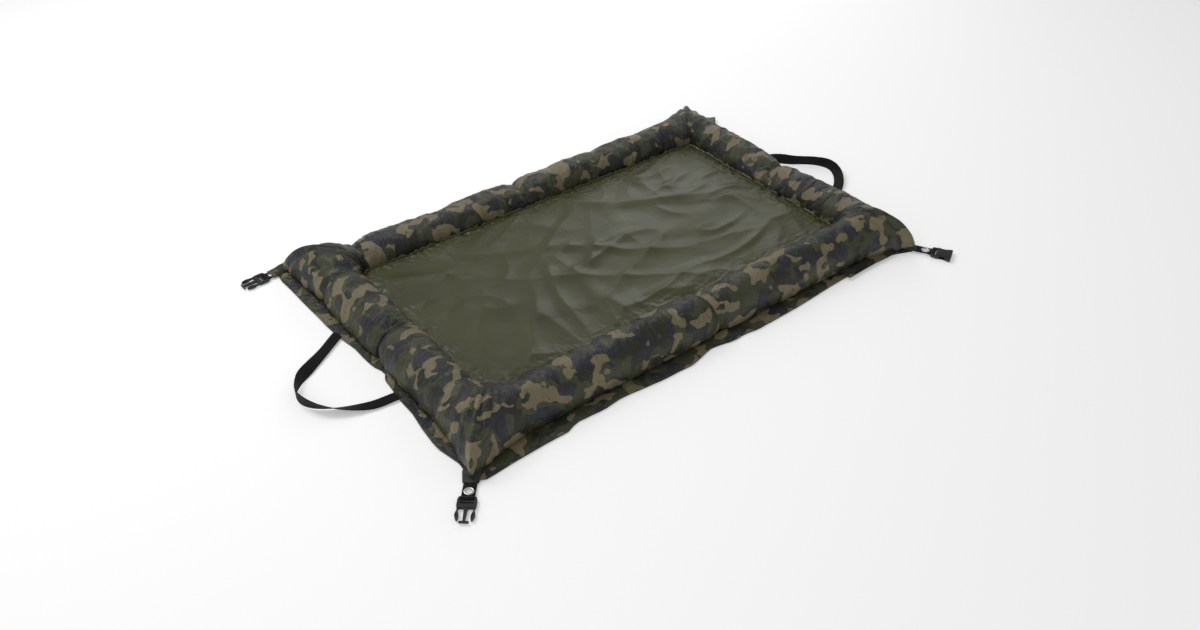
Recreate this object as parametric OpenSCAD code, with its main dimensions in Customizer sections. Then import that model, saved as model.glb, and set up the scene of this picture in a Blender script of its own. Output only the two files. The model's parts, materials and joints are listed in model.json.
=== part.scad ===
// Padded roll-edge mat: a soft tray inside a ring of filled bolsters.
// The mat folds in half about the Y direction; two carry handles on the short
// sides and a side-release buckle at each corner keep it shut.
// Millimetres, +Z up, the mat lies on z = 0.

/* [Mat] */
// Length of the tray sheet along X, between the inner seams
tray_len = 982; // [900:1:1000]
// Width of the tray sheet along Y, between the inner seams
tray_wid = 532; // [500:1:560]
// Height of the tray sheet's top face
tray_h = 26; // [20:1:32]
// Distance of the short hems from the fold line, at their middle
hem_x = 606; // [604:1:608]
// Distance of the long hems from the mat's centre line, at their middle
hem_y = 397; // [395:1:400]
// Middle of the mat from the origin along X
mat_x = 22.4; // [20:0.1:25]
// Middle of the mat from the origin along Y
mat_y = 29.8; // [25:0.1:35]

/* [Bolsters] */
// Width of a bolster between its inner and outer seam
bolster_w = 101; // [96:1:104]
// Height of a straight bolster at its crown
bolster_h = 77; // [70:1:82]
// Height of the corner pillows
corner_h = 91; // [85:1:92]
// Thickness of the cover fabric with its coating and seams
cover_t = 1.5; // [1:0.1:2]

/* [Sheets] */
// Thickness of the ground sheet
ground_t = 1.6; // [1:0.1:1.8]
// Thickness of the tray sheet
sheet_t = 1.6; // [1:0.1:2]
// Thickness of the hem and of the flap that lies on it
hem_t = 1.8; // [1:0.1:2]

/* [Webbing] */
// Width of the webbing
web_w = 25; // [25:1:25]
// Thickness of the handle webbing
web_t = 2; // [1.4:0.1:2.4]
// Thickness of the doubled webbing of a corner tab
tab_t = 2.4; // [2:0.1:2.6]
// Distance of the buckle bar from the corner along the tab
bar_s = 39; // [38:0.5:40]
// Radius of the eyelet's hole
eyelet_r = 6; // [5:0.5:6]
// Radius of the eyelet's flange
flange_r = 9.7; // [9:0.1:10]

/* [Buckles] */
// Width of the plug over its side rails
plug_w = 36; // [34:1:36]
// Height of the plug and its prongs
plug_h = 7; // [6:0.5:7]
// Width of the socket at its mouth
socket_w = 40; // [40:1:42]
// Height of the socket
socket_h = 11; // [11:0.5:11]

/* [Hidden] */

// Corner tips [x, y, heading in degrees, height], where a tab leaves the hem
tip_near_left = [-625, -409, 230, 4.5];
tip_far_left = [-608, 414, 185, 4.5];
tip_near_right = [597, -412, -62, 5.6];
tip_far_right = [600, 395, -42, 5.6];
// Outermost point of the far right corner, whose tab leaves from its right side
point_far_right = [597, 412];

gap = 0.3;                        // clearance between neighbouring pieces
half_len = tray_len / 2;          // fold line to the inner seam of a short side
half_wid = tray_wid / 2;          // centre line to the inner seam of a long side
fold_gap = 1.5;                   // each half stops this far from the fold line
core_z = ground_t + gap;          // underside of everything on the ground sheet
patch_len = 30;                   // length of a corner's fabric patch
tip_half = 15;                    // half the width of the hem at a corner tip
tip_gap = 2.5;                    // the patch stops this far from the tab's hinge

// Routes of the carry handles: [x, y, z, tilt], tilt 0 flat and 90 on edge
left_route = [
    [-620.5, 119, 5, 0], [-662, 90, 4.5, 0], [-708, 58, 8.5, 25], [-745, 28, 14, 70],
    [-767, -4, 15, 90], [-766, -38, 15, 90], [-744, -72, 13, 60],
    [-708, -98, 8.5, 25], [-662, -117, 4.5, 0], [-620.5, -122, 5, 0]
];
right_route = [
    [620.5, 120, 5, 0], [638, 86, 11, 40], [660, 47, 15, 85], [700, 10, 15, 90],
    [719, -24, 14, 70], [711, -59, 11, 40], [684, -92, 7, 15], [650, -116, 4.5, 0],
    [620.5, -133, 5, 0]
];

end_w = bolster_w - 6;            // width of a bolster at its ends
end_h = bolster_h - 8;            // height of a bolster at its ends
slice_t = 0.1;                    // thickness of the slices that a hull joins
patch_t = 2.6;                    // thickness of a corner's fabric patch
label_size = [34, 16, 1];         // length, width and thickness of the label

function sgn_pow(v, p) = sign(v) * pow(abs(v), p);

// Section of a bolster as [across, up]: w wide, h high, drawn in by t
function section(w, h, t) = [
    for (i = [0:15])
    let (a = 22.5 * i)
    [w / 2 + (w / 2 - t) * sgn_pow(cos(a), 0.8),
     core_z + h / 2 + (h / 2 - t) * sgn_pow(sin(a), 0.8)]
];

// Outline of one half of the mat in its own quadrants, fold line at x = fold_gap
function half_outline(tip_n, tip_f) = [
    [fold_gap, -hem_y], [0.6 * half_len, -hem_y + 4],
    [abs(tip_n[0]) - 60, tip_n[1] + 8],
    [abs(tip_n[0]) - tip_half, tip_n[1] - 2], [abs(tip_n[0]), tip_n[1] + tip_half],
    [hem_x + 3, -1.1 * half_wid], [hem_x, 0], [hem_x + 3, 1.1 * half_wid],
    [abs(tip_f[0]), tip_f[1] - tip_half], [abs(tip_f[0]) - tip_half, tip_f[1] + 2],
    [abs(tip_f[0]) - 60, tip_f[1] - 8],
    [0.6 * half_len, hem_y - 4], [fold_gap, hem_y]
];

// Corner of the hem's opening, drawn out towards a tip, on the +X +Y quadrant
function opening_corner(tip) =
    let (
        x = half_len + bolster_w - 5, y = half_wid + bolster_w - 5,
        tx = abs(tip[0]), ty = abs(tip[1]),
        far_x = max(x, tx - 22), far_y = max(y, ty - 22)
    )
    [[x, y - 70], [far_x, min(ty - 46, far_y)], [far_x, far_y],
     [min(tx - 46, far_x), far_y], [x - 70, y]];

// The same points below the X axis, in the order that goes on round the opening
function mirrored(points) = [
    for (i = [len(points) - 1:-1:0]) [points[i][0], -points[i][1]]
];

// Everything is drawn about the mat's middle and set in place by this
module placed() translate([mat_x, mat_y, 0]) children();

// Turns a quadrant drawn at +X +Y to the side given by the signs
module quadrant(sx, sy) {
    placed()
        mirror([sx < 0 ? 1 : 0, 0, 0])
            mirror([0, sy < 0 ? 1 : 0, 0])
                children();
}

// Places a piece drawn along +X from a corner tip
module at_tip(tip) placed() translate([tip[0], tip[1], 0]) rotate(tip[2]) children();

// The same, at the height of the tab's middle
module on_tab(tip) at_tip(tip) translate([0, 0, tip[3]]) children();

// A thin slice of a bolster's section, standing at x
module slice(x, w, h, t) {
    translate([x, (bolster_w - w) / 2, 0])
        rotate([90, 0, 90]) linear_extrude(slice_t) polygon(section(w, h, t));
}

// A bolster from x = 0 to len, fullest between its ends, drawn in by t
module barrel(len, t, over) {
    hull() {
        slice(-over, end_w, end_h, t);
        slice(0.25 * len, bolster_w, bolster_h, t);
        slice(0.75 * len, bolster_w, bolster_h, t);
        slice(len + over - slice_t, end_w, end_h, t);
    }
}

module bolster_cover(len) {
    difference() {
        barrel(len, 0, 0);
        barrel(len, cover_t, 1);
    }
}

// Filling of a straight bolster: it runs through at the size of the cover's ends
module bolster_filling(len) {
    translate([gap, (bolster_w - end_w) / 2, 0])
        rotate([90, 0, 90])
            linear_extrude(len - 2 * gap)
                polygon(section(end_w, end_h, cover_t + gap));
}

// Long bolster from the fold line to the corner, on the +X +Y quadrant
module on_long_side() translate([fold_gap, half_wid, 0]) children();

long_len = half_len - gap - fold_gap;

// Short bolster from the centre line to the corner, on the +X +Y quadrant
module on_short_side() {
    translate([half_len, gap, 0]) mirror([1, -1, 0]) children();
}

short_len = half_wid - 2 * gap;

// Corner pillow: the ring's turn, rising to a crown and running out to the tip
module pillow(tip, t, over) {
    tip_x = abs(tip[0]) - half_len;
    tip_y = abs(tip[1]) - half_wid;
    hull() {
        slice(-over, end_w, end_h, t);
        mirror([1, -1, 0]) slice(-over, end_w, end_h, t);
        translate([0.5 * bolster_w, 0.5 * bolster_w, core_z + t])
            cylinder(h = corner_h - core_z - 2 * t, r = 27 - t, $fn = 20);
        translate([0.54 * bolster_w, 0.54 * bolster_w, core_z + 14 + t])
            cylinder(h = corner_h - core_z - 28 - 2 * t, r = 49 - t, $fn = 24);
        translate([tip_x - 32, tip_y - 32, core_z + hem_t + gap + t])
            cylinder(h = 20 - 2 * t, r = 9 - t, $fn = 12);
    }
}

module at_corner() translate([half_len, half_wid, 0]) children();

module corner_cover(tip) {
    difference() {
        pillow(tip, 0, 0);
        pillow(tip, cover_t, 1);
    }
}

module corner_filling(tip) pillow(tip, cover_t + gap, -gap);

// Ground sheet of one half
module ground_sheet(sx, tip_n, tip_f) {
    color([0.12, 0.13, 0.1])
        quadrant(sx, 1)
            linear_extrude(ground_t) polygon(half_outline(tip_n, tip_f));
}

// Hem: the cover's flange outside the bolsters
module hem(sx, tip_n, tip_f) {
    inner_y = half_wid + bolster_w - 5;
    opening = concat([[-1, -inner_y]], mirrored(opening_corner(tip_n)),
                     opening_corner(tip_f), [[-1, inner_y]]);
    color([0.2, 0.21, 0.15])
        quadrant(sx, 1)
            translate([0, 0, core_z])
                linear_extrude(hem_t)
                    difference() {
                        polygon(half_outline(tip_n, tip_f));
                        polygon(opening);
                    }
}

module foam_core(sx) {
    foam_top = tray_h - sheet_t - gap;
    color([0.75, 0.75, 0.7])
        quadrant(sx, 1)
            translate([fold_gap, -half_wid + 1, core_z])
                cube([half_len - fold_gap - 1, tray_wid - 2, foam_top - core_z]);
}

module tray_sheet(sx) {
    color([0.26, 0.27, 0.17])
        quadrant(sx, 1)
            translate([fold_gap, -half_wid + 0.5, tray_h - sheet_t])
                cube([half_len - fold_gap - 0.5, tray_wid - 1, sheet_t]);
}

// Fabric patch that holds the tab at a corner
module corner_patch(tip) {
    color([0.14, 0.14, 0.13])
        at_tip(tip)
            translate([-patch_len, -tip_half, core_z + hem_t + gap])
                cube([patch_len - tip_gap, 2 * tip_half, patch_t]);
}

// Overlapping flap on the near hem of the right half
module hem_flap() {
    color([0.24, 0.24, 0.16])
        placed()
            translate([0, 0, core_z + hem_t + gap])
                linear_extrude(hem_t)
                    polygon([[382, 24 - hem_y], [382, 6 - hem_y], [500, 3 - hem_y],
                             [546, -hem_y], [546, 8 - hem_y], [500, 24 - hem_y]]);
}

// Small woven label on the crown of the far bolster
module label() {
    color("black")
        placed()
            translate([428, half_wid + 44, core_z + bolster_h + gap])
                cube(label_size);
}

// A point of a smooth curve through b and c, u from 0 at b to 1 at c
function through(a, b, c, d, u) =
    0.5 * (2 * b + (c - a) * u + (2 * a - 5 * b + 4 * c - d) * pow(u, 2)
           + (3 * b - a - 3 * c + d) * pow(u, 3));

function smooth(route, steps) = [
    for (i = [0:len(route) - 2], k = [0:steps - 1])
    let (a = route[max(i - 1, 0)], d = route[min(i + 2, len(route) - 1)])
    through(a, route[i], route[i + 1], d, k / steps),
    route[len(route) - 1]
];

// The four corners of a strap's section at p, out is its level sideways direction
function strap_ring(p, out) =
    let (
        wide = cos(p[3]) * out + [0, 0, sin(p[3])],
        thick = -sin(p[3]) * out + [0, 0, cos(p[3])],
        at = [p[0], p[1], p[2]]
    )
    [for (c = [[-1, -1], [1, -1], [1, 1], [-1, 1]])
        at + c[0] * web_w / 2 * wide + c[1] * web_t / 2 * thick];

// Webbing swept along a route, its tilt lifting the side away from the mat
module strap(route, turn) {
    path = smooth(route, 3);
    last = len(path) - 1;
    rings = [
        for (i = [0:last])
        let (
            run = path[min(i + 1, last)] - path[max(i - 1, 0)],
            out = turn * [run[1], -run[0], 0] / norm([run[0], run[1]])
        )
        each strap_ring(path[i], out)
    ];
    sides = [
        for (i = [0:last - 1], k = [0:3])
        let (a = 4 * i + k, b = 4 * i + (k + 1) % 4)
        each [[a, b, b + 4], [a, b + 4, a + 4]]
    ];
    ends = [[3, 2, 1, 0], [for (k = [0:3]) 4 * last + k]];
    polyhedron(points = rings, faces = concat(sides, ends), convexity = 6);
}

module handle_left() color("black") placed() strap(left_route, 1);
module handle_right() color("black") placed() strap(right_route, -1);

// Distance of the eyelet's centre from the tip along the tab
eyelet_s = 20;

// Corner tab: doubled webbing, pierced for the eyelet and looped round the bar
module tab(tip) {
    loop_r = 4.2;
    bar_clear_r = 2.3;
    color("black")
        on_tab(tip)
            difference() {
                union() {
                    translate([gap, -web_w / 2, -tab_t / 2])
                        cube([bar_s - gap, web_w, tab_t]);
                    translate([bar_s, web_w / 2, 0])
                        rotate([90, 0, 0]) cylinder(h = web_w, r = loop_r, $fn = 32);
                }
                translate([bar_s, web_w, 0])
                    rotate([90, 0, 0]) cylinder(h = 2 * web_w, r = bar_clear_r, $fn = 32);
                translate([eyelet_s, 0, 0])
                    cylinder(h = 20, r = eyelet_r + 0.9, center = true, $fn = 48);
            }
}

module eyelet(tip) {
    flange_t = 0.9;
    color("silver")
        on_tab(tip)
            translate([eyelet_s, 0, 0])
                difference() {
                    union() {
                        cylinder(h = tab_t + 2 * flange_t, r = eyelet_r + 0.8,
                                 center = true, $fn = 48);
                        for (s = [-1, 1])
                            translate([0, 0, s * (tab_t + flange_t) / 2])
                                cylinder(h = flange_t, r = flange_r, center = true,
                                         $fn = 48);
                    }
                    cylinder(h = 20, r = eyelet_r, center = true, $fn = 48);
                }
}

// The plug's outline stations along the tab
body_s = bar_s + 15;              // where the plug's solid bridge begins
prong_s = bar_s + 21;             // where the prongs and the stem begin
plug_end = 93;                    // tip of the stem
prong_y = 13;                     // prong's root from the centre line
slot_w = web_w + 0.6;             // width inside the side rails

module plug_bar(width) {
    translate([bar_s, width / 2, 0])
        rotate([90, 0, 0]) cylinder(h = width, r = 2, $fn = 32);
}

module plug(tip) {
    rail_s = bar_s - 5;
    color([0.09, 0.09, 0.1])
        on_tab(tip) {
            difference() {
                translate([0, 0, -plug_h / 2])
                    linear_extrude(plug_h)
                        polygon([[rail_s, -plug_w / 2 + 4], [rail_s + 8, -plug_w / 2],
                                 [prong_s, -plug_w / 2 + 1], [prong_s, plug_w / 2 - 1],
                                 [rail_s + 8, plug_w / 2], [rail_s, plug_w / 2 - 4]]);
                translate([rail_s - 1, -slot_w / 2, -10])
                    cube([body_s - rail_s + 1, slot_w, 20]);
            }
            plug_bar(slot_w + 2);
            translate([0, 0, -plug_h / 2 + 1])
                linear_extrude(plug_h - 2)
                    polygon([[prong_s - 1, -5.5], [prong_s + 5, -3.2], [plug_end - 3, -2.4],
                             [plug_end - 2.5, -9], [plug_end, -9], [plug_end, 9],
                             [plug_end - 2.5, 9], [plug_end - 3, 2.4],
                             [prong_s + 5, 3.2], [prong_s - 1, 5.5]]);
        }
}

// Sprung prong of a plug: a slim arm that ends in a leaf
module prong(tip, side) {
    color([0.09, 0.09, 0.1])
        on_tab(tip)
            mirror([0, side < 0 ? 1 : 0, 0])
                translate([prong_s + gap, prong_y, -plug_h / 2 + 0.5])
                    linear_extrude(plug_h - 1)
                        polygon([[0, 0], [0, 3], [8, 3.6], [12, 5], [19, 5], [26, 3],
                                 [28, 0.5], [26, -1.5], [20, -2.4], [13, -1.6], [8, 0.8]]);
}

// Socket: a waisted sleeve, open at its mouth and at its side windows
module socket(tip) {
    start = bar_s + 6;
    mouth = bar_s + 40;
    waist = socket_w / 2 - 4;
    rail_s = bar_s - 5;
    color([0.1, 0.1, 0.11])
        on_tab(tip) {
            difference() {
                translate([0, 0, -socket_h / 2])
                    linear_extrude(socket_h)
                        polygon([
                            [rail_s, -plug_w / 2 + 3], [start, -plug_w / 2],
                            [start + 8, -waist - 1], [start + 18, -waist],
                            [mouth - 8, -socket_w / 2], [mouth, -socket_w / 2],
                            [mouth, socket_w / 2], [mouth - 8, socket_w / 2],
                            [start + 18, waist], [start + 8, waist + 1],
                            [start, plug_w / 2], [rail_s, plug_w / 2 - 3]]);
                translate([rail_s - 1, -slot_w / 2, -10])
                    cube([start - rail_s + 2.5, slot_w, 20]);
                translate([start + 6, -waist + 2.2, -3.2])
                    cube([mouth - start, 2 * waist - 4.4, 6.4]);
                translate([start + 9, -socket_w, -2.6])
                    cube([12, 2 * socket_w, 5.2]);
            }
            plug_bar(slot_w + 2);
        }
}

cover_camo = [0.27, 0.26, 0.19];
filling_white = [0.92, 0.92, 0.9];

ground_sheet(-1, tip_near_left, tip_far_left);  // ground_sheet_left
ground_sheet(1, tip_near_right, point_far_right);  // ground_sheet_right
foam_core(-1);  // foam_core_left
foam_core(1);  // foam_core_right
tray_sheet(-1);  // tray_sheet_left
tray_sheet(1);  // tray_sheet_right
hem(-1, tip_near_left, tip_far_left);  // hem_left
hem(1, tip_near_right, point_far_right);  // hem_right

module long_cover(sx, sy) {
    color(cover_camo) quadrant(sx, sy) on_long_side() bolster_cover(long_len);
}
long_cover(-1, -1);  // cover_near_left
long_cover(1, -1);  // cover_near_right
long_cover(-1, 1);  // cover_far_left
long_cover(1, 1);  // cover_far_right

module short_cover(sx, sy) {
    color(cover_camo) quadrant(sx, sy) on_short_side() bolster_cover(short_len);
}
short_cover(-1, -1);  // cover_left_near
short_cover(-1, 1);  // cover_left_far
short_cover(1, -1);  // cover_right_near
short_cover(1, 1);  // cover_right_far

module one_corner_cover(sx, sy, tip) {
    color(cover_camo) quadrant(sx, sy) at_corner() corner_cover(tip);
}
one_corner_cover(-1, -1, tip_near_left);  // corner_cover_near_left
one_corner_cover(-1, 1, tip_far_left);  // corner_cover_far_left
one_corner_cover(1, -1, tip_near_right);  // corner_cover_near_right
one_corner_cover(1, 1, point_far_right);  // corner_cover_far_right

module long_filling(sx, sy) {
    color(filling_white) quadrant(sx, sy) on_long_side() bolster_filling(long_len);
}
long_filling(-1, -1);  // filling_near_left
long_filling(1, -1);  // filling_near_right
long_filling(-1, 1);  // filling_far_left
long_filling(1, 1);  // filling_far_right

module short_filling(sx, sy) {
    color(filling_white) quadrant(sx, sy) on_short_side() bolster_filling(short_len);
}
short_filling(-1, -1);  // filling_left_near
short_filling(-1, 1);  // filling_left_far
short_filling(1, -1);  // filling_right_near
short_filling(1, 1);  // filling_right_far

module one_corner_filling(sx, sy, tip) {
    color(filling_white) quadrant(sx, sy) at_corner() corner_filling(tip);
}
one_corner_filling(-1, -1, tip_near_left);  // corner_filling_near_left
one_corner_filling(-1, 1, tip_far_left);  // corner_filling_far_left
one_corner_filling(1, -1, tip_near_right);  // corner_filling_near_right
one_corner_filling(1, 1, point_far_right);  // corner_filling_far_right

corner_patch(tip_near_left);  // corner_patch_near_left
corner_patch(tip_far_left);  // corner_patch_far_left
corner_patch(tip_near_right);  // corner_patch_near_right
corner_patch(tip_far_right);  // corner_patch_far_right
hem_flap();
label();

handle_left();
handle_right();

tab(tip_near_left);  // tab_near_left
tab(tip_far_left);  // tab_far_left
tab(tip_near_right);  // tab_near_right
tab(tip_far_right);  // tab_far_right
eyelet(tip_near_left);  // eyelet_near_left
eyelet(tip_far_left);  // eyelet_far_left
eyelet(tip_near_right);  // eyelet_near_right
eyelet(tip_far_right);  // eyelet_far_right

plug(tip_near_left);  // plug_near_left
plug(tip_far_left);  // plug_far_left
socket(tip_near_right);  // socket_near_right
socket(tip_far_right);  // socket_far_right
prong(tip_near_left, 1);  // prong_near_left_a
prong(tip_near_left, -1);  // prong_near_left_b
prong(tip_far_left, 1);  // prong_far_left_a
prong(tip_far_left, -1);  // prong_far_left_b
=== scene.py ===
"""Looks of the padded roll-edge mat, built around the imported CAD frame.

Everything is in metres. Shapes are drawn about the middle of the mat and moved to the
row frame by MAT when a mesh is made.
"""

import json
import math

import bpy
import numpy as np
from mathutils import Matrix, Vector, noise


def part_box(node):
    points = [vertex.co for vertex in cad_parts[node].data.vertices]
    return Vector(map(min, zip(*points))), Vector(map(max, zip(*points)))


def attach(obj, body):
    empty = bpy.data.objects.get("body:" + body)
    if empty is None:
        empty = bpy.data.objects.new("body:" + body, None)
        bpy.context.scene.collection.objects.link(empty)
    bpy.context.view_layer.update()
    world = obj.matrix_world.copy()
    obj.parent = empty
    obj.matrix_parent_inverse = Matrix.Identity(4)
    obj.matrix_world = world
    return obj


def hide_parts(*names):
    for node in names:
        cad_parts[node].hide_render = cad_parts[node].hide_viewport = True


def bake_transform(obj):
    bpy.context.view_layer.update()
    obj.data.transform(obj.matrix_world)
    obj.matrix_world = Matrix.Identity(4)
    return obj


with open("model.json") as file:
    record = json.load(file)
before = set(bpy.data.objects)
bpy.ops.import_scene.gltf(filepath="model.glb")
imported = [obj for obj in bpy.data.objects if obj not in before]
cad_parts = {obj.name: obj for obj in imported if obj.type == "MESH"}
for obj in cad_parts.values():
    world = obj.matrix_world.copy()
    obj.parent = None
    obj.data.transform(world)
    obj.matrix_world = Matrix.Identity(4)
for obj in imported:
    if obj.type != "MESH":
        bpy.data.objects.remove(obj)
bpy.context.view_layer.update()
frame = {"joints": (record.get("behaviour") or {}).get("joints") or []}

# ---------------------------------------------------------------- sizes from the frame
MM = 0.001
SHEET_EDGE = 0.5 * MM  # the tray sheet stops this far from the inner seam
TRAY_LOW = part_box("tray_sheet_left")[0]
TRAY_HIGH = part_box("tray_sheet_right")[1]
MAT_X = (TRAY_LOW.x + TRAY_HIGH.x) / 2
MAT_Y = (TRAY_LOW.y + TRAY_HIGH.y) / 2
MAT = Vector((MAT_X, MAT_Y, 0))
HALF_LEN = (TRAY_HIGH.x - TRAY_LOW.x) / 2 + SHEET_EDGE
HALF_WID = (TRAY_HIGH.y - TRAY_LOW.y) / 2 + SHEET_EDGE
TRAY_Z = TRAY_HIGH.z
FOAM_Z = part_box("foam_core_left")[1].z
GROUND_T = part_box("ground_sheet_left")[1].z
COVER_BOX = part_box("cover_far_right")
BOLSTER_W = COVER_BOX[1].y - COVER_BOX[0].y
BOLSTER_H = COVER_BOX[1].z
CORNER_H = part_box("corner_cover_far_right")[1].z
HEM_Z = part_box("hem_right")[1].z

JOINTS = {j["name"]: j for j in frame["joints"]}
FOLD_REACH = 0.085  # pieces reaching this far to both sides of the fold belong to both halves

CORNER_R = 30 * MM  # radius of the inner seam at the corners
CORNER_NAMES = ("near_left", "near_right", "far_right", "far_left")
CORNER_SIGNS = {
    "near_left": (-1, -1), "near_right": (1, -1), "far_right": (1, 1), "far_left": (-1, 1),
}


def corner_tip(corner):
    """(tip in the mat's own frame, direction of the tab) at a corner, from its joint."""
    joint = JOINTS[f"tab_{corner}_lift"]
    place = Vector(joint["pos_m"]) - MAT
    axis = Vector(joint["axis"])
    return place, Vector((axis.y, -axis.x, 0))


TIPS = {corner: corner_tip(corner) for corner in CORNER_NAMES}
# The corners' outermost points and the direction out of each. The far right tab leaves
# from its corner's right side, so there the two are not the same.
LOBES = dict(TIPS)
LOBES["far_right"] = (Vector((597 * MM, 412 * MM, 0)), Vector((0.469, 0.883, 0)))


# ---------------------------------------------------------------- mesh helpers
def jitter(x, y=0.0, z=0.0):
    """Smooth noise between -1 and 1."""
    return noise.noise(Vector((x, y, z)))


def ridged(x, y, z):
    """Noise with sharp crests."""
    return 1 - 2.4 * abs(jitter(x, y, z))


def ease(t):
    """0 to 1 with level ends."""
    t = min(max(t, 0.0), 1.0)
    return t * t * (3 - 2 * t)


def grid_faces(rows, cols, closed=False):
    """Quads of a grid of rows x cols points; closed joins the last row to the first."""
    faces = []
    for i in range(rows if closed else rows - 1):
        for j in range(cols - 1):
            a, b = i * cols + j, ((i + 1) % rows) * cols + j
            faces.append((a, a + 1, b + 1, b))
    return faces


def tube_faces(rows, cols):
    """Quads of a tube of rows rings with cols points each, and its two end faces."""
    faces = []
    for i in range(rows - 1):
        for j in range(cols):
            k = (j + 1) % cols
            faces.append((i * cols + j, i * cols + k, (i + 1) * cols + k, (i + 1) * cols + j))
    faces.append(tuple(reversed(range(cols))))
    faces.append(tuple((rows - 1) * cols + j for j in range(cols)))
    return faces


def link(thing):
    bpy.context.scene.collection.objects.link(thing)
    return thing


def make_object(name, verts, faces, shift=True):
    mesh = bpy.data.meshes.new(name)
    points = np.asarray(verts, float) + (np.array(MAT) if shift else 0.0)
    mesh.from_pydata(points.tolist(), [], faces)
    mesh.update()
    mesh.polygons.foreach_set("use_smooth", [True] * len(mesh.polygons))
    return link(bpy.data.objects.new(name, mesh))


def set_vector(piece, name, values):
    """Stores a vector for each point, which the materials read by name."""
    attribute = piece.data.attributes.new(name, "FLOAT_VECTOR", "POINT")
    attribute.data.foreach_set("vector", np.asarray(values, np.float32).ravel())


def points_of(piece):
    co = np.empty(len(piece.data.vertices) * 3)
    piece.data.vertices.foreach_get("co", co)
    return co.reshape(-1, 3)


def bake(piece):
    """Applies every modifier on a piece, and leaves a plain mesh."""
    graph = bpy.context.evaluated_depsgraph_get()
    final = bpy.data.meshes.new_from_object(piece.evaluated_get(graph))
    piece.modifiers.clear()
    if piece.type == "MESH":
        piece.shape_key_clear()
        piece.data = final
        return piece
    name = piece.name
    bpy.data.objects.remove(piece)
    return link(bpy.data.objects.new(name, final))


def subdivide(piece):
    modifier = piece.modifiers.new("smooth", "SUBSURF")
    modifier.levels = 1
    modifier.render_levels = 1
    return bake(piece)


def thicken(piece, thickness):
    modifier = piece.modifiers.new("thickness", "SOLIDIFY")
    modifier.thickness = thickness
    modifier.offset = -1.0
    return bake(piece)


def move_points(piece, co):
    piece.data.vertices.foreach_set("co", np.asarray(co).ravel())
    piece.data.update()


def finish_piece(piece, material, slot, body, *nodes):
    """Material, body and the CAD nodes that a piece stands for. The record slot argument is not
    used.
    """
    piece.data.materials.clear()
    piece.data.materials.append(material)
    if body == "both halves":
        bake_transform(piece)
    elif isinstance(body, str):
        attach(piece, body)
    else:
        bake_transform(piece)
    if nodes:
        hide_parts(*nodes)
    return piece


# ---------------------------------------------------------------- material helpers
def put(material, socket, value):
    """Sets a socket to a number or colour, or links another node's output to it."""
    if isinstance(value, bpy.types.NodeSocket):
        material.node_tree.links.new(value, socket)
    else:
        socket.default_value = value


def set_shader(material, name, value):
    put(material, material.node_tree.nodes["Principled BSDF"].inputs[name], value)


def new_material(name, roughness=0.5, metallic=0.0, specular=0.5, sheen=0.0):
    material = bpy.data.materials.new(name)
    material.use_nodes = True
    set_shader(material, "Roughness", roughness)
    set_shader(material, "Metallic", metallic)
    set_shader(material, "Specular IOR Level", specular)
    set_shader(material, "Sheen Weight", sheen)
    return material


def new_node(material, kind, inputs, **settings):
    """A shader node with its settings, and values or links for its inputs."""
    made = material.node_tree.nodes.new("ShaderNode" + kind)
    for name, value in settings.items():
        setattr(made, name, value)
    for key, value in inputs.items():
        put(material, made.inputs[key], value)
    return made


def srgb(r, g, b):
    """A colour given as 0 to 255 sRGB, in linear light with alpha."""
    def linear(c):
        c = c / 255
        return c / 12.92 if c <= 0.04045 else ((c + 0.055) / 1.055) ** 2.4
    return (linear(r), linear(g), linear(b), 1.0)


def attribute(material, name):
    return new_node(material, "Attribute", {}, attribute_name=name).outputs["Vector"]


def object_coordinates(material):
    return new_node(material, "TexCoord", {}).outputs["Object"]


def scaled(material, vector, factors, shift=(0, 0, 0)):
    inputs = {0: vector, 1: factors, 2: shift}
    return new_node(material, "VectorMath", inputs, operation="MULTIPLY_ADD").outputs[0]


def added(material, a, b):
    return new_node(material, "VectorMath", {0: a, 1: b}, operation="ADD").outputs[0]


def math_node(material, operation, a, b=0.0):
    return new_node(material, "Math", {0: a, 1: b}, operation=operation).outputs[0]


def noise_node(material, vector, scale, detail=2.0, roughness=0.5, distortion=0.0):
    inputs = {"Vector": vector, "Scale": scale, "Detail": detail, "Roughness": roughness,
              "Distortion": distortion}
    return new_node(material, "TexNoise", inputs).outputs["Fac"]


def mix_colour(material, factor, a, b, blend="MIX"):
    inputs = {"Factor": factor, "A": a, "B": b}
    made = new_node(material, "Mix", inputs, data_type="RGBA", blend_type=blend)
    return made.outputs["Result"]


def remap(material, value, low, high, to_low=0.0, to_high=1.0):
    inputs = {"Value": value, "From Min": low, "From Max": high, "To Min": to_low,
              "To Max": to_high}
    return new_node(material, "MapRange", inputs).outputs["Result"]


def two_tone(material, value, dark, light, low=0.3, high=0.7):
    """A mix of two sRGB colours by a value between low and high."""
    return mix_colour(material, remap(material, value, low, high), srgb(*dark), srgb(*light))


def split_axes(material, vector):
    return new_node(material, "SeparateXYZ", {0: vector}).outputs


def ripple(material, value):
    """Rounded ridges, one for every pi of the value."""
    return math_node(material, "ABSOLUTE", math_node(material, "SINE", value))


def bump(material, height, distance, strength=1.0, below=None):
    inputs = {"Height": height, "Distance": distance, "Strength": strength}
    if below is not None:
        inputs["Normal"] = below
    return new_node(material, "Bump", inputs).outputs["Normal"]


def crests(material, value):
    """Turns smooth noise about 0.5 into sharp crests."""
    away = math_node(material, "ABSOLUTE", math_node(material, "SUBTRACT", value, 0.5))
    return math_node(material, "SUBTRACT", 1.0, away)


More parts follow.
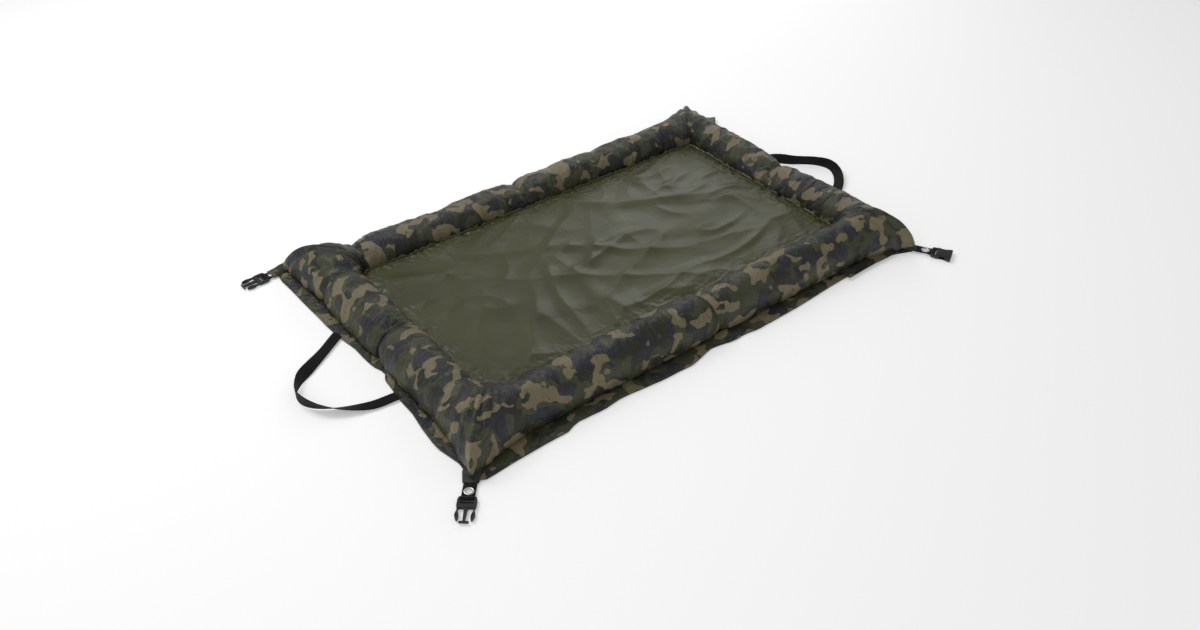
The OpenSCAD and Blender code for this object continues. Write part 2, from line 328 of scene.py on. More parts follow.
def weave_height(material, vector, pitch):
    """Plain weave: two crossed sets of ridges, pitch apart."""
    axes = split_axes(material, scaled(material, vector, (math.pi / pitch,) * 3))
    across = math_node(material, "SINE", axes["X"])
    along = math_node(material, "SINE", axes["Y"])
    return math_node(material, "ABSOLUTE", math_node(material, "MULTIPLY", across, along))


# ---------------------------------------------------------------- materials
PRINT_EDGE = 0.004  # half width of the soft edge between two colours, in noise units
CAMO = {
    "dark green": (34, 37, 25),
    "green": (60, 64, 39),
    "navy": (36, 37, 45),
    "tan": (122, 111, 84),
}


def camo_material():
    """Woodland print on lightly coated nylon: four colours in rounded, lobed blobs."""
    m = new_material("camo_nylon", roughness=0.42, specular=0.5)
    where = attribute(m, "print")
    warp = noise_node(m, where, 16.0, 2.0, 0.5)
    centred = scaled(m, warp.node.outputs["Color"], (0.05,) * 3, (-0.025,) * 3)
    lobed = added(m, where, centred)
    colour = srgb(*CAMO["dark green"])
    layers = (
        ("green", (1.0, 1.0, 1.0), (3.1, 0.0, 0.4), 22.0, 0.48),
        ("navy", (0.75, 1.0, 1.0), (7.3, 2.2, 1.9), 26.0, 0.565),
        ("tan", (0.8, 1.0, 1.0), (1.7, 5.1, 4.4), 27.0, 0.57),
    )
    for name, stretch, shift, scale, threshold in layers:
        field = noise_node(m, scaled(m, lobed, stretch, shift), scale, 1.6, 0.45)
        mask = remap(m, field, threshold - PRINT_EDGE, threshold + PRINT_EDGE)
        colour = mix_colour(m, mask, colour, srgb(*CAMO[name]))
    fade = noise_node(m, where, 45.0, 3.0, 0.6)
    shade = remap(m, fade, 0.3, 0.7, 0.88, 1.08)
    grey = new_node(m, "CombineColor", {"Red": shade, "Green": shade, "Blue": shade})
    colour = mix_colour(m, 1.0, colour, grey.outputs["Color"], "MULTIPLY")
    set_shader(m, "Base Color", colour)
    flat = attribute(m, "flat")
    creases = noise_node(m, scaled(m, flat, (70.0, 22.0, 22.0)), 1.0, 4.0, 0.55, 0.4)
    crumple = noise_node(m, where, 85.0, 3.0, 0.5, 0.6)
    normal = bump(m, crests(m, creases), 0.010, 0.8)
    normal = bump(m, crests(m, crumple), 0.005, 0.7, normal)
    normal = bump(m, weave_height(m, flat, 0.0006), 0.00012, 0.35, normal)
    set_shader(m, "Normal", normal)
    gloss = noise_node(m, where, 30.0, 3.0, 0.6)
    rough = remap(m, gloss, 0.3, 0.7, 0.36, 0.5)
    set_shader(m, "Roughness", rough)
    return m


def sheet_material():
    """Smooth olive coated fabric of the tray."""
    m = new_material("olive_coated_sheet", roughness=0.45, specular=0.4)
    flat = attribute(m, "flat")
    mottle = noise_node(m, flat, 6.0, 4.0, 0.6)
    colour = two_tone(m, mottle, (63, 65, 37), (71, 73, 42))
    set_shader(m, "Base Color", colour)
    grain = noise_node(m, flat, 420.0, 2.0, 0.6)
    soft = noise_node(m, flat, 26.0, 4.0, 0.5, 0.8)
    normal = bump(m, soft, 0.0025, 0.35)
    normal = bump(m, grain, 0.00025, 0.3, normal)
    normal = bump(m, weave_height(m, flat, 0.0007), 0.0001, 0.25, normal)
    set_shader(m, "Normal", normal)
    rough = remap(m, mottle, 0.3, 0.7, 0.34, 0.46)
    set_shader(m, "Roughness", rough)
    return m


RIPSTOP_PITCH = 6 * MM
WEFT_PITCH = 1.6 * MM
RIB_PITCH = 2.1 * MM


def ground_material():
    """Dark coated underside with a ripstop grid."""
    m = new_material("ground_fabric", roughness=0.6, specular=0.3)
    flat = attribute(m, "flat")
    axes = split_axes(m, scaled(m, flat, (math.pi / RIPSTOP_PITCH,) * 3))
    along, across = (remap(m, ripple(m, axes[axis]), 0.985, 1.0) for axis in ("X", "Y"))
    lines = math_node(m, "MAXIMUM", along, across)
    wear = noise_node(m, flat, 12.0, 4.0, 0.6)
    colour = two_tone(m, wear, (33, 36, 28), (43, 46, 37), 0.35, 0.75)
    colour = mix_colour(m, math_node(m, "MULTIPLY", lines, 0.5), colour, srgb(58, 61, 50))
    set_shader(m, "Base Color", colour)
    normal = bump(m, lines, 0.0002, 0.5)
    normal = bump(m, weave_height(m, flat, 0.0008), 0.00015, 0.4, normal)
    set_shader(m, "Normal", normal)
    return m


def webbing_material():
    """Black polyester webbing: ribs along its length, crossed by a fine weft, with painted shade
    in the weave's low places.
    """
    m = new_material("black_webbing", roughness=0.65, specular=0.2, sheen=0.03)
    flat = attribute(m, "flat")
    axes = split_axes(m, scaled(m, flat, (math.pi / WEFT_PITCH, math.pi / RIB_PITCH, 1.0)))
    weft = math_node(m, "ADD", ripple(m, axes["X"]), 0.35)
    height = math_node(m, "MULTIPLY", weft, ripple(m, axes["Y"]))
    fluff = noise_node(m, flat, 300.0, 3.0, 0.7)
    colour = two_tone(m, fluff, (10, 10, 11), (18, 18, 20))
    # painted shade: the low places of the weave are darkened towards near black
    dark = remap(m, height, 0.0, 0.5, 0.5, 0.0)
    colour = mix_colour(m, dark, colour, srgb(5, 5, 6))
    set_shader(m, "Base Color", colour)
    normal = bump(m, height, 0.0006, 0.7)
    normal = bump(m, fluff, 0.0002, 0.4, normal)
    set_shader(m, "Normal", normal)
    return m


def plastic_material():
    """Moulded black acetal with a fine spark-eroded grain, lighter on its sharp convex edges."""
    m = new_material("black_plastic", roughness=0.38, specular=0.5)
    where = object_coordinates(m)
    grain = noise_node(m, where, 2600.0, 2.0, 0.6)
    cloud = noise_node(m, where, 70.0, 3.0, 0.6)
    colour = two_tone(m, cloud, (12, 12, 13), (19, 19, 21))
    edge = new_node(m, "NewGeometry", {})
    # the sharp convex edges are made lighter
    lighter_edges = remap(m, edge.outputs["Pointiness"], 0.52, 0.62, 0.0, 0.5)
    colour = mix_colour(m, lighter_edges, colour, srgb(38, 38, 40))
    set_shader(m, "Base Color", colour)
    rough = remap(m, cloud, 0.3, 0.7, 0.3, 0.46)
    set_shader(m, "Roughness", rough)
    set_shader(m, "Normal", bump(m, grain, 0.0001, 0.3))
    return m


def nickel_material():
    """Nickel plate with fine turning marks and a few dull patches."""
    m = new_material("nickel_plate", roughness=0.22, metallic=1.0)
    where = object_coordinates(m)
    haze = noise_node(m, where, 380.0, 3.0, 0.6)
    set_shader(m, "Base Color", two_tone(m, haze, (196, 194, 188), (226, 225, 221)))
    rough = remap(m, haze, 0.3, 0.7, 0.14, 0.34)
    set_shader(m, "Roughness", rough)
    marks = noise_node(m, where, 1900.0, 2.0, 0.6)
    set_shader(m, "Normal", bump(m, marks, 0.00005, 0.3))
    return m


def foam_material():
    m = new_material("cell_foam", roughness=0.85, specular=0.2)
    inputs = {"Vector": object_coordinates(m), "Scale": 700.0}
    depth = new_node(m, "TexVoronoi", inputs).outputs["Distance"]
    set_shader(m, "Base Color", two_tone(m, depth, (150, 150, 142), (205, 205, 196), 0.0, 0.8))
    set_shader(m, "Normal", bump(m, depth, 0.0006, 0.7))
    return m


def filling_material():
    m = new_material("fibre_filling", roughness=0.95, specular=0.1, sheen=0.3)
    tufts = noise_node(m, object_coordinates(m), 90.0, 6.0, 0.7, 1.5)
    set_shader(m, "Base Color", two_tone(m, tufts, (205, 205, 200), (240, 240, 236)))
    set_shader(m, "Normal", bump(m, tufts, 0.004, 0.8))
    return m


def label_material():
    """Woven label with a plain orange panel in a dark border."""
    m = new_material("woven_label", roughness=0.6, sheen=0.1)
    flat = attribute(m, "flat")
    axes = split_axes(m, flat)
    wide, tall = (remap(m, math_node(m, "ABSOLUTE", axes[axis]), half, half - 0.02)
                  for axis, half in (("X", 0.36), ("Y", 0.3)))
    panel = math_node(m, "MULTIPLY", wide, tall)
    set_shader(m, "Base Color", mix_colour(m, panel, srgb(18, 18, 18), srgb(196, 120, 42)))
    set_shader(m, "Normal", bump(m, weave_height(m, flat, 0.03), 0.0003, 0.6))
    return m


def patch_material():
    """The cover's fabric at the corner patches, in a plain dark colour with faint mottling."""
    m = new_material("dark_nylon", roughness=0.5, specular=0.4)
    flat = attribute(m, "flat")
    shade = noise_node(m, flat, 3.0, 3.0, 0.5)
    set_shader(m, "Base Color", two_tone(m, shade, (30, 31, 28), (48, 50, 42), 0.35, 0.65))
    normal = bump(m, noise_node(m, flat, 9.0, 4.0, 0.6), 0.002, 0.5)
    set_shader(m, "Normal", bump(m, weave_height(m, flat, 0.02), 0.0002, 0.4, normal))
    return m


def thread_material():
    m = new_material("thread", roughness=0.6, sheen=0.2)
    twist = noise_node(m, object_coordinates(m), 1500.0, 2.0, 0.6)
    set_shader(m, "Base Color", two_tone(m, twist, (24, 25, 20), (46, 47, 38)))
    set_shader(m, "Normal", bump(m, twist, 0.0002, 0.6))
    return m


camo = camo_material()
olive = sheet_material()
ground = ground_material()
webbing = webbing_material()
plastic = plastic_material()
nickel = nickel_material()
foam = foam_material()
filling = filling_material()
label_fabric = label_material()
patch_fabric = patch_material()
thread = thread_material()


# ---------------------------------------------------------------- camera, light, floor
CAMERA_PLACE = Vector((-1.28407, -1.63016, 1.42086))  # from the mat's middle
CAMERA_DOWN = 0.649983  # angles in radians: below the horizon, and from +Y towards +X
CAMERA_TURN = 0.661645
CAMERA_LENS = 32.84     # mm, on a sensor 36 mm wide


def make_camera():
    data = bpy.data.cameras.new("camera")
    data.lens = CAMERA_LENS
    data.clip_start = 0.05
    camera = link(bpy.data.objects.new("camera", data))
    camera.location = MAT + CAMERA_PLACE
    camera.rotation_euler = (math.pi / 2 - CAMERA_DOWN, 0, -CAMERA_TURN)
    bpy.context.scene.camera = camera


def area_light(name, place, size, power):
    data = bpy.data.lights.new(name, "AREA")
    data.energy = power
    data.size = size
    light = link(bpy.data.objects.new(name, data))
    light.location = MAT + Vector(place)
    aim = MAT - light.location
    light.rotation_euler = aim.to_track_quat("-Z", "Y").to_euler()


FLOOR_DROP = 0.3 * MM  # keeps the floor clear of the ground sheet


def make_stage():
    reach = 8.0
    corners = [(-reach, -reach, 0), (reach, -reach, 0), (reach, reach, 0), (-reach, reach, 0)]
    floor = make_object("floor", corners, [(0, 1, 2, 3)])
    floor.location.z = -FLOOR_DROP
    m = new_material("pale_floor", roughness=0.9, specular=0.1)
    set_shader(m, "Base Color", (0.93, 0.93, 0.93, 1))
    set_shader(m, "Emission Color", (1, 1, 1, 1))
    set_shader(m, "Emission Strength", 0.3)
    floor.data.materials.append(m)
    world = bpy.data.worlds.new("studio")
    bpy.context.scene.world = world
    world.use_nodes = True
    sky = world.node_tree.nodes["Background"]
    sky.inputs["Color"].default_value = (1.0, 1.0, 1.0, 1)
    sky.inputs["Strength"].default_value = 0.38
    area_light("key", (-0.9, 1.6, 2.6), 1.6, 36)
    area_light("fill", (-2.4, -1.6, 1.8), 2.0, 9)
    area_light("rim", (1.8, 1.8, 1.2), 1.2, 8)
    bpy.context.scene.view_settings.view_transform = "Standard"


# ---------------------------------------------------------------- stations of the ring
RING_STEP = 5.5 * MM  # distance between stations along a side
FAN_STEPS = 40        # stations round a corner
ARC_POINTS = 34       # points of a section, from the inner seam to the outer one
TIP_BACK = 9 * MM     # the bolster's corners end this far inside the outermost points
SEAM_IN_Z = TRAY_Z - 2 * MM
SEAM_OUT_Z = 6 * MM


def ring_stations():
    """Stations counterclockwise from the middle of the left side.

    Each is a dict: inner and outer seam points, corner share t (0 to 1 round a corner,
    else None), the corner's name, and s, the distance along the inner seam.
    """
    stations = []

    def add(inner, outer, corner=None, t=None):
        stations.append({"in": Vector(inner), "out": Vector(outer), "corner": corner, "t": t})

    def side(begin, end):
        """Along a side, from one (inner, outer) pair of points to another."""
        count = max(2, round((Vector(end[0]) - Vector(begin[0])).length / RING_STEP))
        for i in range(1, count):
            add(*(Vector(a).lerp(Vector(b), i / count) for a, b in zip(begin, end)))

    def corner_ends(corner):
        sx, sy = CORNER_SIGNS[corner]
        on_short = ((sx * HALF_LEN, sy * (HALF_WID - CORNER_R)),
                    (sx * (HALF_LEN + BOLSTER_W), sy * (HALF_WID - CORNER_R)))
        on_long = ((sx * (HALF_LEN - CORNER_R), sy * HALF_WID),
                   (sx * (HALF_LEN - CORNER_R), sy * (HALF_WID + BOLSTER_W)))
        return on_short, on_long

    def fan(corner, first, last):
        """From the end given first to the one given last, round the corner."""
        sx, sy = CORNER_SIGNS[corner]
        centre = Vector((sx * (HALF_LEN - CORNER_R), sy * (HALF_WID - CORNER_R)))
        a0 = math.atan2(first[0][1] - centre.y, first[0][0] - centre.x)
        place, away = LOBES[corner]
        tip = Vector(place[:2]) - TIP_BACK * Vector(away[:2])
        begin, end = Vector(first[1]), Vector(last[1])
        for i in range(FAN_STEPS + 1):
            t = i / FAN_STEPS
            a = a0 + t * math.pi / 2
            inner = centre + CORNER_R * Vector((math.cos(a), math.sin(a)))
            u = 2 * t if t < 0.5 else 2 * (1 - t)
            base = begin if t < 0.5 else end
            along_x = abs(base.y) > HALF_WID + CORNER_R / 2
            slow = u ** 1.3  # keeps the outline full on the way to the tip
            x = base.x + (tip.x - base.x) * (u if along_x else slow)
            y = base.y + (tip.y - base.y) * (slow if along_x else u)
            add(inner, (x, y), corner, t)

    left = (-HALF_LEN, 0), (-HALF_LEN - BOLSTER_W, 0)
    add(*left)
    here = left
    for k, corner in enumerate(CORNER_NAMES):
        on_short, on_long = corner_ends(corner)
        arrive, leave = (on_long, on_short) if k % 2 else (on_short, on_long)
        side(here, arrive)
        fan(corner, arrive, leave)
        here = leave
    side(here, left)
    s = 0.0
    for i, station in enumerate(stations):
        if i:
            s += (station["in"] - stations[i - 1]["in"]).length
            s += 0.35 * (station["out"] - stations[i - 1]["out"]).length
        station["s"] = s
    return stations


STATIONS = ring_stations()


def nearest_station(x, y):
    """Index of the station whose middle is nearest to a point of the mat's frame."""
    gaps = [((st["in"] + st["out"]) / 2 - Vector((x, y))).length for st in STATIONS]
    return gaps.index(min(gaps))


MID_X = HALF_LEN + BOLSTER_W / 2
MID_Y = HALF_WID + BOLSTER_W / 2
NEAR_CREASE_X = 20 * MM
FAR_CREASE_X = -30 * MM
# Creases across the ring: station, depth as a share of the height
CREASES = {
    "left": (0, 0.28),
    "near": (nearest_station(NEAR_CREASE_X, -MID_Y), 0.34),
    "right": (nearest_station(MID_X, 0), 0.24),
    "far": (nearest_station(FAR_CREASE_X, MID_Y), 0.26),
    "corner_far": (nearest_station(CORNER_R - HALF_LEN, MID_Y), 0.24),
    "corner_left": (nearest_station(-MID_X, HALF_WID - CORNER_R), 0.24),
}
CREASE_REACH = 24 * MM
# Slack places of the ring: middle, reach, share of the height that is lost
SLACK = (((-0.27, MID_Y), 0.17, 0.18), ((0.2, MID_Y), 0.3, 0.11), ((MID_X, 0.0), 0.13, 0.12))
BULGE_IN_Z = SEAM_IN_Z + 6 * MM   # the covers bulge over both seams, at these heights
BULGE_OUT_Z = SEAM_OUT_Z + 4 * MM
ARC_START = 1.12 * math.pi  # a section's arc begins below the inner bulge
ARC_TURN = 1.21 * math.pi   # and ends below the outer one
RING_LENGTH = STATIONS[-1]["s"] + RING_STEP


def ring_gap(i, k):
    """Distance along the ring between two stations, the short way round."""
    gap = abs(STATIONS[i]["s"] - STATIONS[k]["s"])
    return min(gap, RING_LENGTH - gap)


def stand_out(i, v, corner, place, reach):
    """How far a point of section i stands out for gathers, lumps and the corner's folds."""
    s, t = STATIONS[i]["s"], STATIONS[i]["t"]
    in_gap = v * (reach + BOLSTER_H) * 0.75
    out_gap = (1 - v) * (reach + BOLSTER_H) * 0.75
    fold_in = math.exp(-in_gap / (26 * MM)) * (1 + 1.6 * corner)
    fold_out = math.exp(-out_gap / (22 * MM))
    wave_in = jitter(s * 62, v * 2.0, 1.7) * 1.6 + jitter(s * 118, v * 2.0, 9.1) * 0.8
    wave_out = jitter(s * 48, v * 2.2, 5.9) * 1.6
    near_crease = min(ring_gap(i, k) for k, _ in CREASES.values())
    gather = math.exp(-near_crease / (30 * MM)) * jitter(s * 40, v * 9, 2.2) * 1.2
    lump = jitter(place.x * 16, place.y * 16, place.z * 16 + 4) * 1.8
    streak = 0.0
    if t is not None and v > 0.35:
        streak = 4.6 * math.cos(2 * math.pi * (t - 0.5) * 7 + 0.6) * ease((v - 0.35) / 0.3)
        streak *= math.exp(-((t - 0.5) / 0.2) ** 2)
    free = math.sin(math.pi * v) ** 0.35  # the seams themselves stay put
    return MM * (fold_in * wave_in * 2.0 + fold_out * wave_out * 1.8 + gather + lump
                 + streak) * free


def section(i):
    """The points of one section of the bolster ring before the simulation."""
    inner, outer, t = (STATIONS[i][key] for key in ("in", "out", "t"))
    middle = (inner + outer) / 2
    corner = 0.0 if t is None else math.sin(math.pi * t) ** 1.5
    pinch = sum(d * math.exp(-((ring_gap(i, k) / CREASE_REACH) ** 1.1))
                for k, d in CREASES.values())
    swell = 1 + 0.03 * jitter(middle.x * 9, middle.y * 9, 3.3)
    swell -= sum(share * math.exp(-((middle - Vector(at)).length / far) ** 2)
                 for at, far, share in SLACK)
    crown = (BOLSTER_H + (CORNER_H - BOLSTER_H) * corner) * (swell - pinch)
    reach = (outer - inner).length
    side = (outer - inner).normalized()
    points = []
    for j in range(ARC_POINTS):
        v = j / (ARC_POINTS - 1)
        a = ARC_START - ARC_TURN * v
        across = (0.5 + 0.5 * math.cos(a)) ** (1 + 0.3 * corner)
        if v < 0.5:
            seam, bulge, lowest = SEAM_IN_Z, BULGE_IN_Z, 0.368
        else:
            seam, bulge, lowest = SEAM_OUT_Z, BULGE_OUT_Z, 0.279
            across *= 1 - 0.4 * pinch
        rise = math.sin(a)
        if rise < 0:
            height = bulge + (bulge - seam) * rise / lowest
        else:
            height = bulge + (crown - bulge) * rise ** (1 + (0.35 * corner if v > 0.5 else 0))
        flat = inner.lerp(outer, across)
        place = Vector((flat.x, flat.y, height))
        out_way = Vector((side.x * math.cos(a), side.y * math.cos(a), math.sin(a)))
        points.append(place + stand_out(i, v, corner, place, reach) * out_way)
    return points


def ring_points():
    return np.array([[tuple(p) for p in section(i)] for i in range(len(STATIONS))])


def simulate_cloth(piece, pinned, rest, frames, pressure, bending, cap, gravity=0.0):
    """Lets a sheet of fabric settle, and moves no point further than cap.

    pinned are the points that stay, and rest the places that give its cut size.
    """
    before = points_of(piece)
    group = piece.vertex_groups.new(name="pinned")
    group.add([int(k) for k in pinned], 1.0, "REPLACE")
    piece.shape_key_add(name="Basis")
    key = piece.shape_key_add(name="cut")
    key.data.foreach_set("co", np.asarray(rest, np.float32).ravel())
    key.value = 0.0
    modifier = piece.modifiers.new("cloth", "CLOTH")
    cloth = modifier.settings
    values = dict(quality=5, mass=0.2, tension_stiffness=22, compression_stiffness=22,
                  shear_stiffness=6, bending_stiffness=bending, air_damping=4,
                  vertex_group_mass="pinned", rest_shape_key=key,
                  use_pressure=pressure > 0, uniform_pressure_force=pressure)
    for name, value in values.items():
        setattr(cloth, name, value)
    cloth.effector_weights.gravity = gravity
    modifier.collision_settings.use_collision = False
    modifier.point_cache.frame_start = 1
    modifier.point_cache.frame_end = frames
    for step in range(1, frames + 1):
        bpy.context.scene.frame_set(step)
    bake(piece)
    bpy.context.scene.frame_set(1)
    after = points_of(piece)
    move = after - before
    length = np.linalg.norm(move, axis=1, keepdims=True)
    after = before + move * np.minimum(1.0, cap / np.maximum(length, 1e-9))
    move_points(piece, after)
    return after


def ring_shape():
    """Points of the whole ring (stations x arc points), as drawn and after the simulation."""
    start = ring_points()
    rows, cols = start.shape[:2]
    flat = start.reshape(-1, 3)
    piece = make_object("ring", flat, grid_faces(rows, cols, closed=True), shift=False)
    pinned = [i * cols for i in range(rows)] + [i * cols + cols - 1 for i in range(rows)]
    for k, _ in CREASES.values():
        pinned += [k * cols + j for j in range(1, cols - 1)]
    rest = flat * np.array((1.045, 1.045, 1.0))
    after = simulate_cloth(piece, pinned, rest, 24, 3.0, 0.05, 14 * MM)
    bpy.data.objects.remove(piece)
    return start, after.reshape(rows, cols, 3)


RING_START, RING = ring_shape()


# ---------------------------------------------------------------- bolster covers
TUCK_Z = 20 * MM  # a sewn end is drawn in towards this height
TUCK_SHARE = 0.16
STRETCHES = (
    ("cover_near_left_run", "left", "near",
     ("cover_left_near", "corner_cover_near_left", "cover_near_left")),
    ("cover_near_right_run", "near", "right",
     ("cover_near_right", "corner_cover_near_right", "cover_right_near")),
    ("cover_far_right_run", "right", "far",
     ("cover_right_far", "corner_cover_far_right", "cover_far_right")),
    ("cover_far_left_run", "far", "corner_far", ("cover_far_left",)),
    ("cover_corner_far_left", "corner_far", "corner_left", ("corner_cover_far_left",)),
    ("cover_left_far_run", "corner_left", "left", ("cover_left_far",)),
)


def station_range(first, last):
    """Station indices from one crease to the next, both included."""
    a, b = CREASES[first][0], CREASES[last][0]
    count = len(STATIONS)
    if b <= a:
        b += count
    return [i % count for i in range(a, b + 1)]


def spans_fold(indices):
    xs = [STATIONS[i]["in"].x for i in indices]
    return min(xs) < FOLD_REACH and max(xs) > -FOLD_REACH


def home_body(indices):
    if spans_fold(indices):
        return "both halves"
    return "left_half" if STATIONS[indices[0]]["in"].x < 0 else "right_half"


def tuck(section_points):
    """Draws a section's points towards its middle, as at a sewn end."""
    middle = (section_points[0] + section_points[-1]) / 2
    middle[2] = TUCK_Z
    return middle + (section_points - middle) * (1 - TUCK_SHARE)


def cover_wrinkle(s, v, gap):
    """Puckers at both seams, folds round the ring by the creases, and crumples.

    s runs along the ring, v across it from 0 to 1, gap is the distance to a crease.
    """
    turn = 0.35 * jitter(s * 9, v * 2, 0.7)
    puckers = math.exp(-v / 0.2) * 3.6 * ridged(s * 62, v * 1.4 + turn, 1.7)
    puckers += math.exp((v - 1) / 0.18) * 3.2 * ridged(s * 54, v * 1.5 + turn, 5.9)
    folds = math.exp(-gap / (40 * MM)) * 3.6 * ridged(s * 44, v * 1.8 + turn, 2.2)
    broad = 2.2 * ridged(s * 21 + 3 * turn, v * 2.6 + s * 6, 8.4)
    fine = 0.9 * ridged(s * 75, v * 5 + s * 9, 3.1) + 0.7 * ridged(s * 50, v * 9 - s * 20, 6.6)
    return MM * (puckers + folds + broad + fine) * math.sin(math.pi * v) ** 0.3


def push_out(piece, heights):
    """Moves a piece's points along their normals."""
    normals = np.empty(len(piece.data.vertices) * 3)
    piece.data.vertex_normals.foreach_get("vector", normals)
    move_points(piece, points_of(piece) + normals.reshape(-1, 3) * np.array(heights)[:, None])


def read_vector(piece, name):
    values = np.empty(len(piece.data.vertices) * 3)
    piece.data.attributes[name].data.foreach_get("vector", values)
    return values.reshape(-1, 3)


def clear_of_tab(piece, corner, room):
    """Holds a cover back from the place where a corner's tab stands when it is lifted."""
    tip, out = TIPS[corner]
    away = points_of(piece) - np.array(tip + MAT)
    along = away @ np.array(out)
    across = np.abs(away @ np.array((-out.y, out.x, 0)))
    held = np.clip((32 * MM - across) / (12 * MM), 0, 1)
    back = np.maximum(0, along + room) * held
    move_points(piece, points_of(piece) - np.outer(back, np.array(out)))


def cover_piece(name, first, last, nodes, offset):
    """One run of the ring's cover, with its sewn ends turned in."""
    indices = station_range(first, last)
    rows = [RING[i] for i in indices]
    begin, end = RING_START[indices[0]], RING_START[indices[-1]]
    rows = [tuck(rows[0])] + rows + [tuck(rows[-1])]
    verts = np.concatenate(rows)
    cols = ARC_POINTS
    piece = make_object(name, verts, grid_faces(len(rows), cols))
    starts = [begin] + [RING_START[i] for i in indices] + [end]
    set_vector(piece, "print", np.concatenate(starts) + np.array(offset))
    flat = []
    stations = [indices[0]] + indices + [indices[-1]]
    for k, i in enumerate(stations):
        arc = np.concatenate([[0], np.cumsum(np.linalg.norm(
            np.diff(starts[k], axis=0), axis=1))])
        flat += [(STATIONS[i]["s"], u, 0.0) for u in arc]
    set_vector(piece, "flat", flat)
    place = [(STATIONS[i]["s"], j / (cols - 1), min(ring_gap(i, k) for k, _ in CREASES.values()))
             for i in stations for j in range(cols)]
    set_vector(piece, "place", place)
    subdivide(piece)
    push_out(piece, [cover_wrinkle(*p) for p in read_vector(piece, "place")])
    clear_of_tab(piece, "far_right", 11 * MM)
    finish_piece(piece, camo, "camo", home_body(indices), *nodes)


def make_covers():
    for k, (name, first, last, nodes) in enumerate(STRETCHES):
        cover_piece(name, first, last, nodes, (0.37 * k, 0.61 * k, 0.29 * k))


# ---------------------------------------------------------------- fillings inside
FILLING_GAP = 5 * MM


def filling_ring(i):
    """Closed outline of the filling at a station: inside the cover, flat below."""
    cover = RING[i][::3]
    middle = (cover[0] + cover[-1]) / 2
    middle[2] = 0.4 * BOLSTER_H
    away = cover - middle
    length = np.linalg.norm(away, axis=1, keepdims=True)
    top = middle + away * np.maximum(0.3, 1 - FILLING_GAP / np.maximum(length, 1e-6))
    top[:, 2] = np.maximum(top[:, 2], 6 * MM)
    base_z = GROUND_T + 2 * MM
    below = [top[-1] * (1 - u) + top[0] * u for u in (0.03, 0.3, 0.5, 0.7, 0.97)]
    bottom = np.array([(p[0], p[1], base_z) for p in below])
    return np.concatenate([top, bottom])


def make_fillings():
    for name, first, last, covers in STRETCHES:
        rings = [filling_ring(i) for i in station_range(first, last)[2:-2:2]]
        verts = np.concatenate(rings)
        piece = make_object(name.replace("cover", "filling"), verts,
                            tube_faces(len(rings), len(rings[0])))
        finish_piece(piece, filling, "filling", home_body(station_range(first, last)),
                     *(node.replace("cover", "filling") for node in covers))


# ---------------------------------------------------------------- tray sheet and core
TRAY_STEP = 6.5 * MM
LIP = ((0.0, 0.0), (1.5 * MM, 2.0 * MM), (3.5 * MM, 3.4 * MM))  # (outward, up) of its edge
TRAY_INSET = 7.5 * MM
CORE_INSET = 12 * MM
CORE_R = 20 * MM


def rim_of(nx, ny):
    """The places (i, j) round the edge of a grid, counterclockwise."""
    return ([(i, 0) for i in range(nx)] + [(nx - 1, j) for j in range(1, ny)]
            + [(i, ny - 1) for i in range(nx - 2, -1, -1)]
            + [(0, j) for j in range(ny - 2, 0, -1)])


def rounded(x, y, half_x, half_y, radius):
    """Moves a point of a rectangle to the same place in one with round corners."""
    cx, cy = half_x - radius, half_y - radius
    dx, dy = abs(x) - cx, abs(y) - cy
    if dx <= 0 or dy <= 0:
        return x, y
    reach = max(dx, dy)
    length = math.hypot(dx, dy)
    return (math.copysign(cx + dx * reach / length, x),
            math.copysign(cy + dy * reach / length, y))


def tray_height(x, y, gap):
    """Height of the tray's wrinkles at a point, gap from its edge."""
    broad = 0.0
    for k, (turn, length, width) in enumerate(((0.55, 0.42, 0.120), (0.1, 0.34, 0.095),
                                               (2.5, 0.36, 0.110), (1.3, 0.28, 0.09))):
        u = x * math.cos(turn) + y * math.sin(turn)
        v = -x * math.sin(turn) + y * math.cos(turn)
        bend = 0.4 * jitter(x * 5, y * 5, k + 7.7)
        ridge = 1 - abs(jitter(u / length + bend, v / width + bend, k * 3.1)) * 2.6
        mask = ease(0.75 + 1.2 * jitter(x * 4.5, y * 4.5, k + 0.5))
        broad += max(0.0, ridge) ** 1.6 * mask
    edge = math.exp(-gap / (22 * MM))
    pucker = edge * (ridged(x * 62, y * 62, 2.9) + 0.6 * jitter(x * 120, y * 120, 6.1))
    return MM * (4.2 * broad * (1 - edge) + 3.6 * pucker)


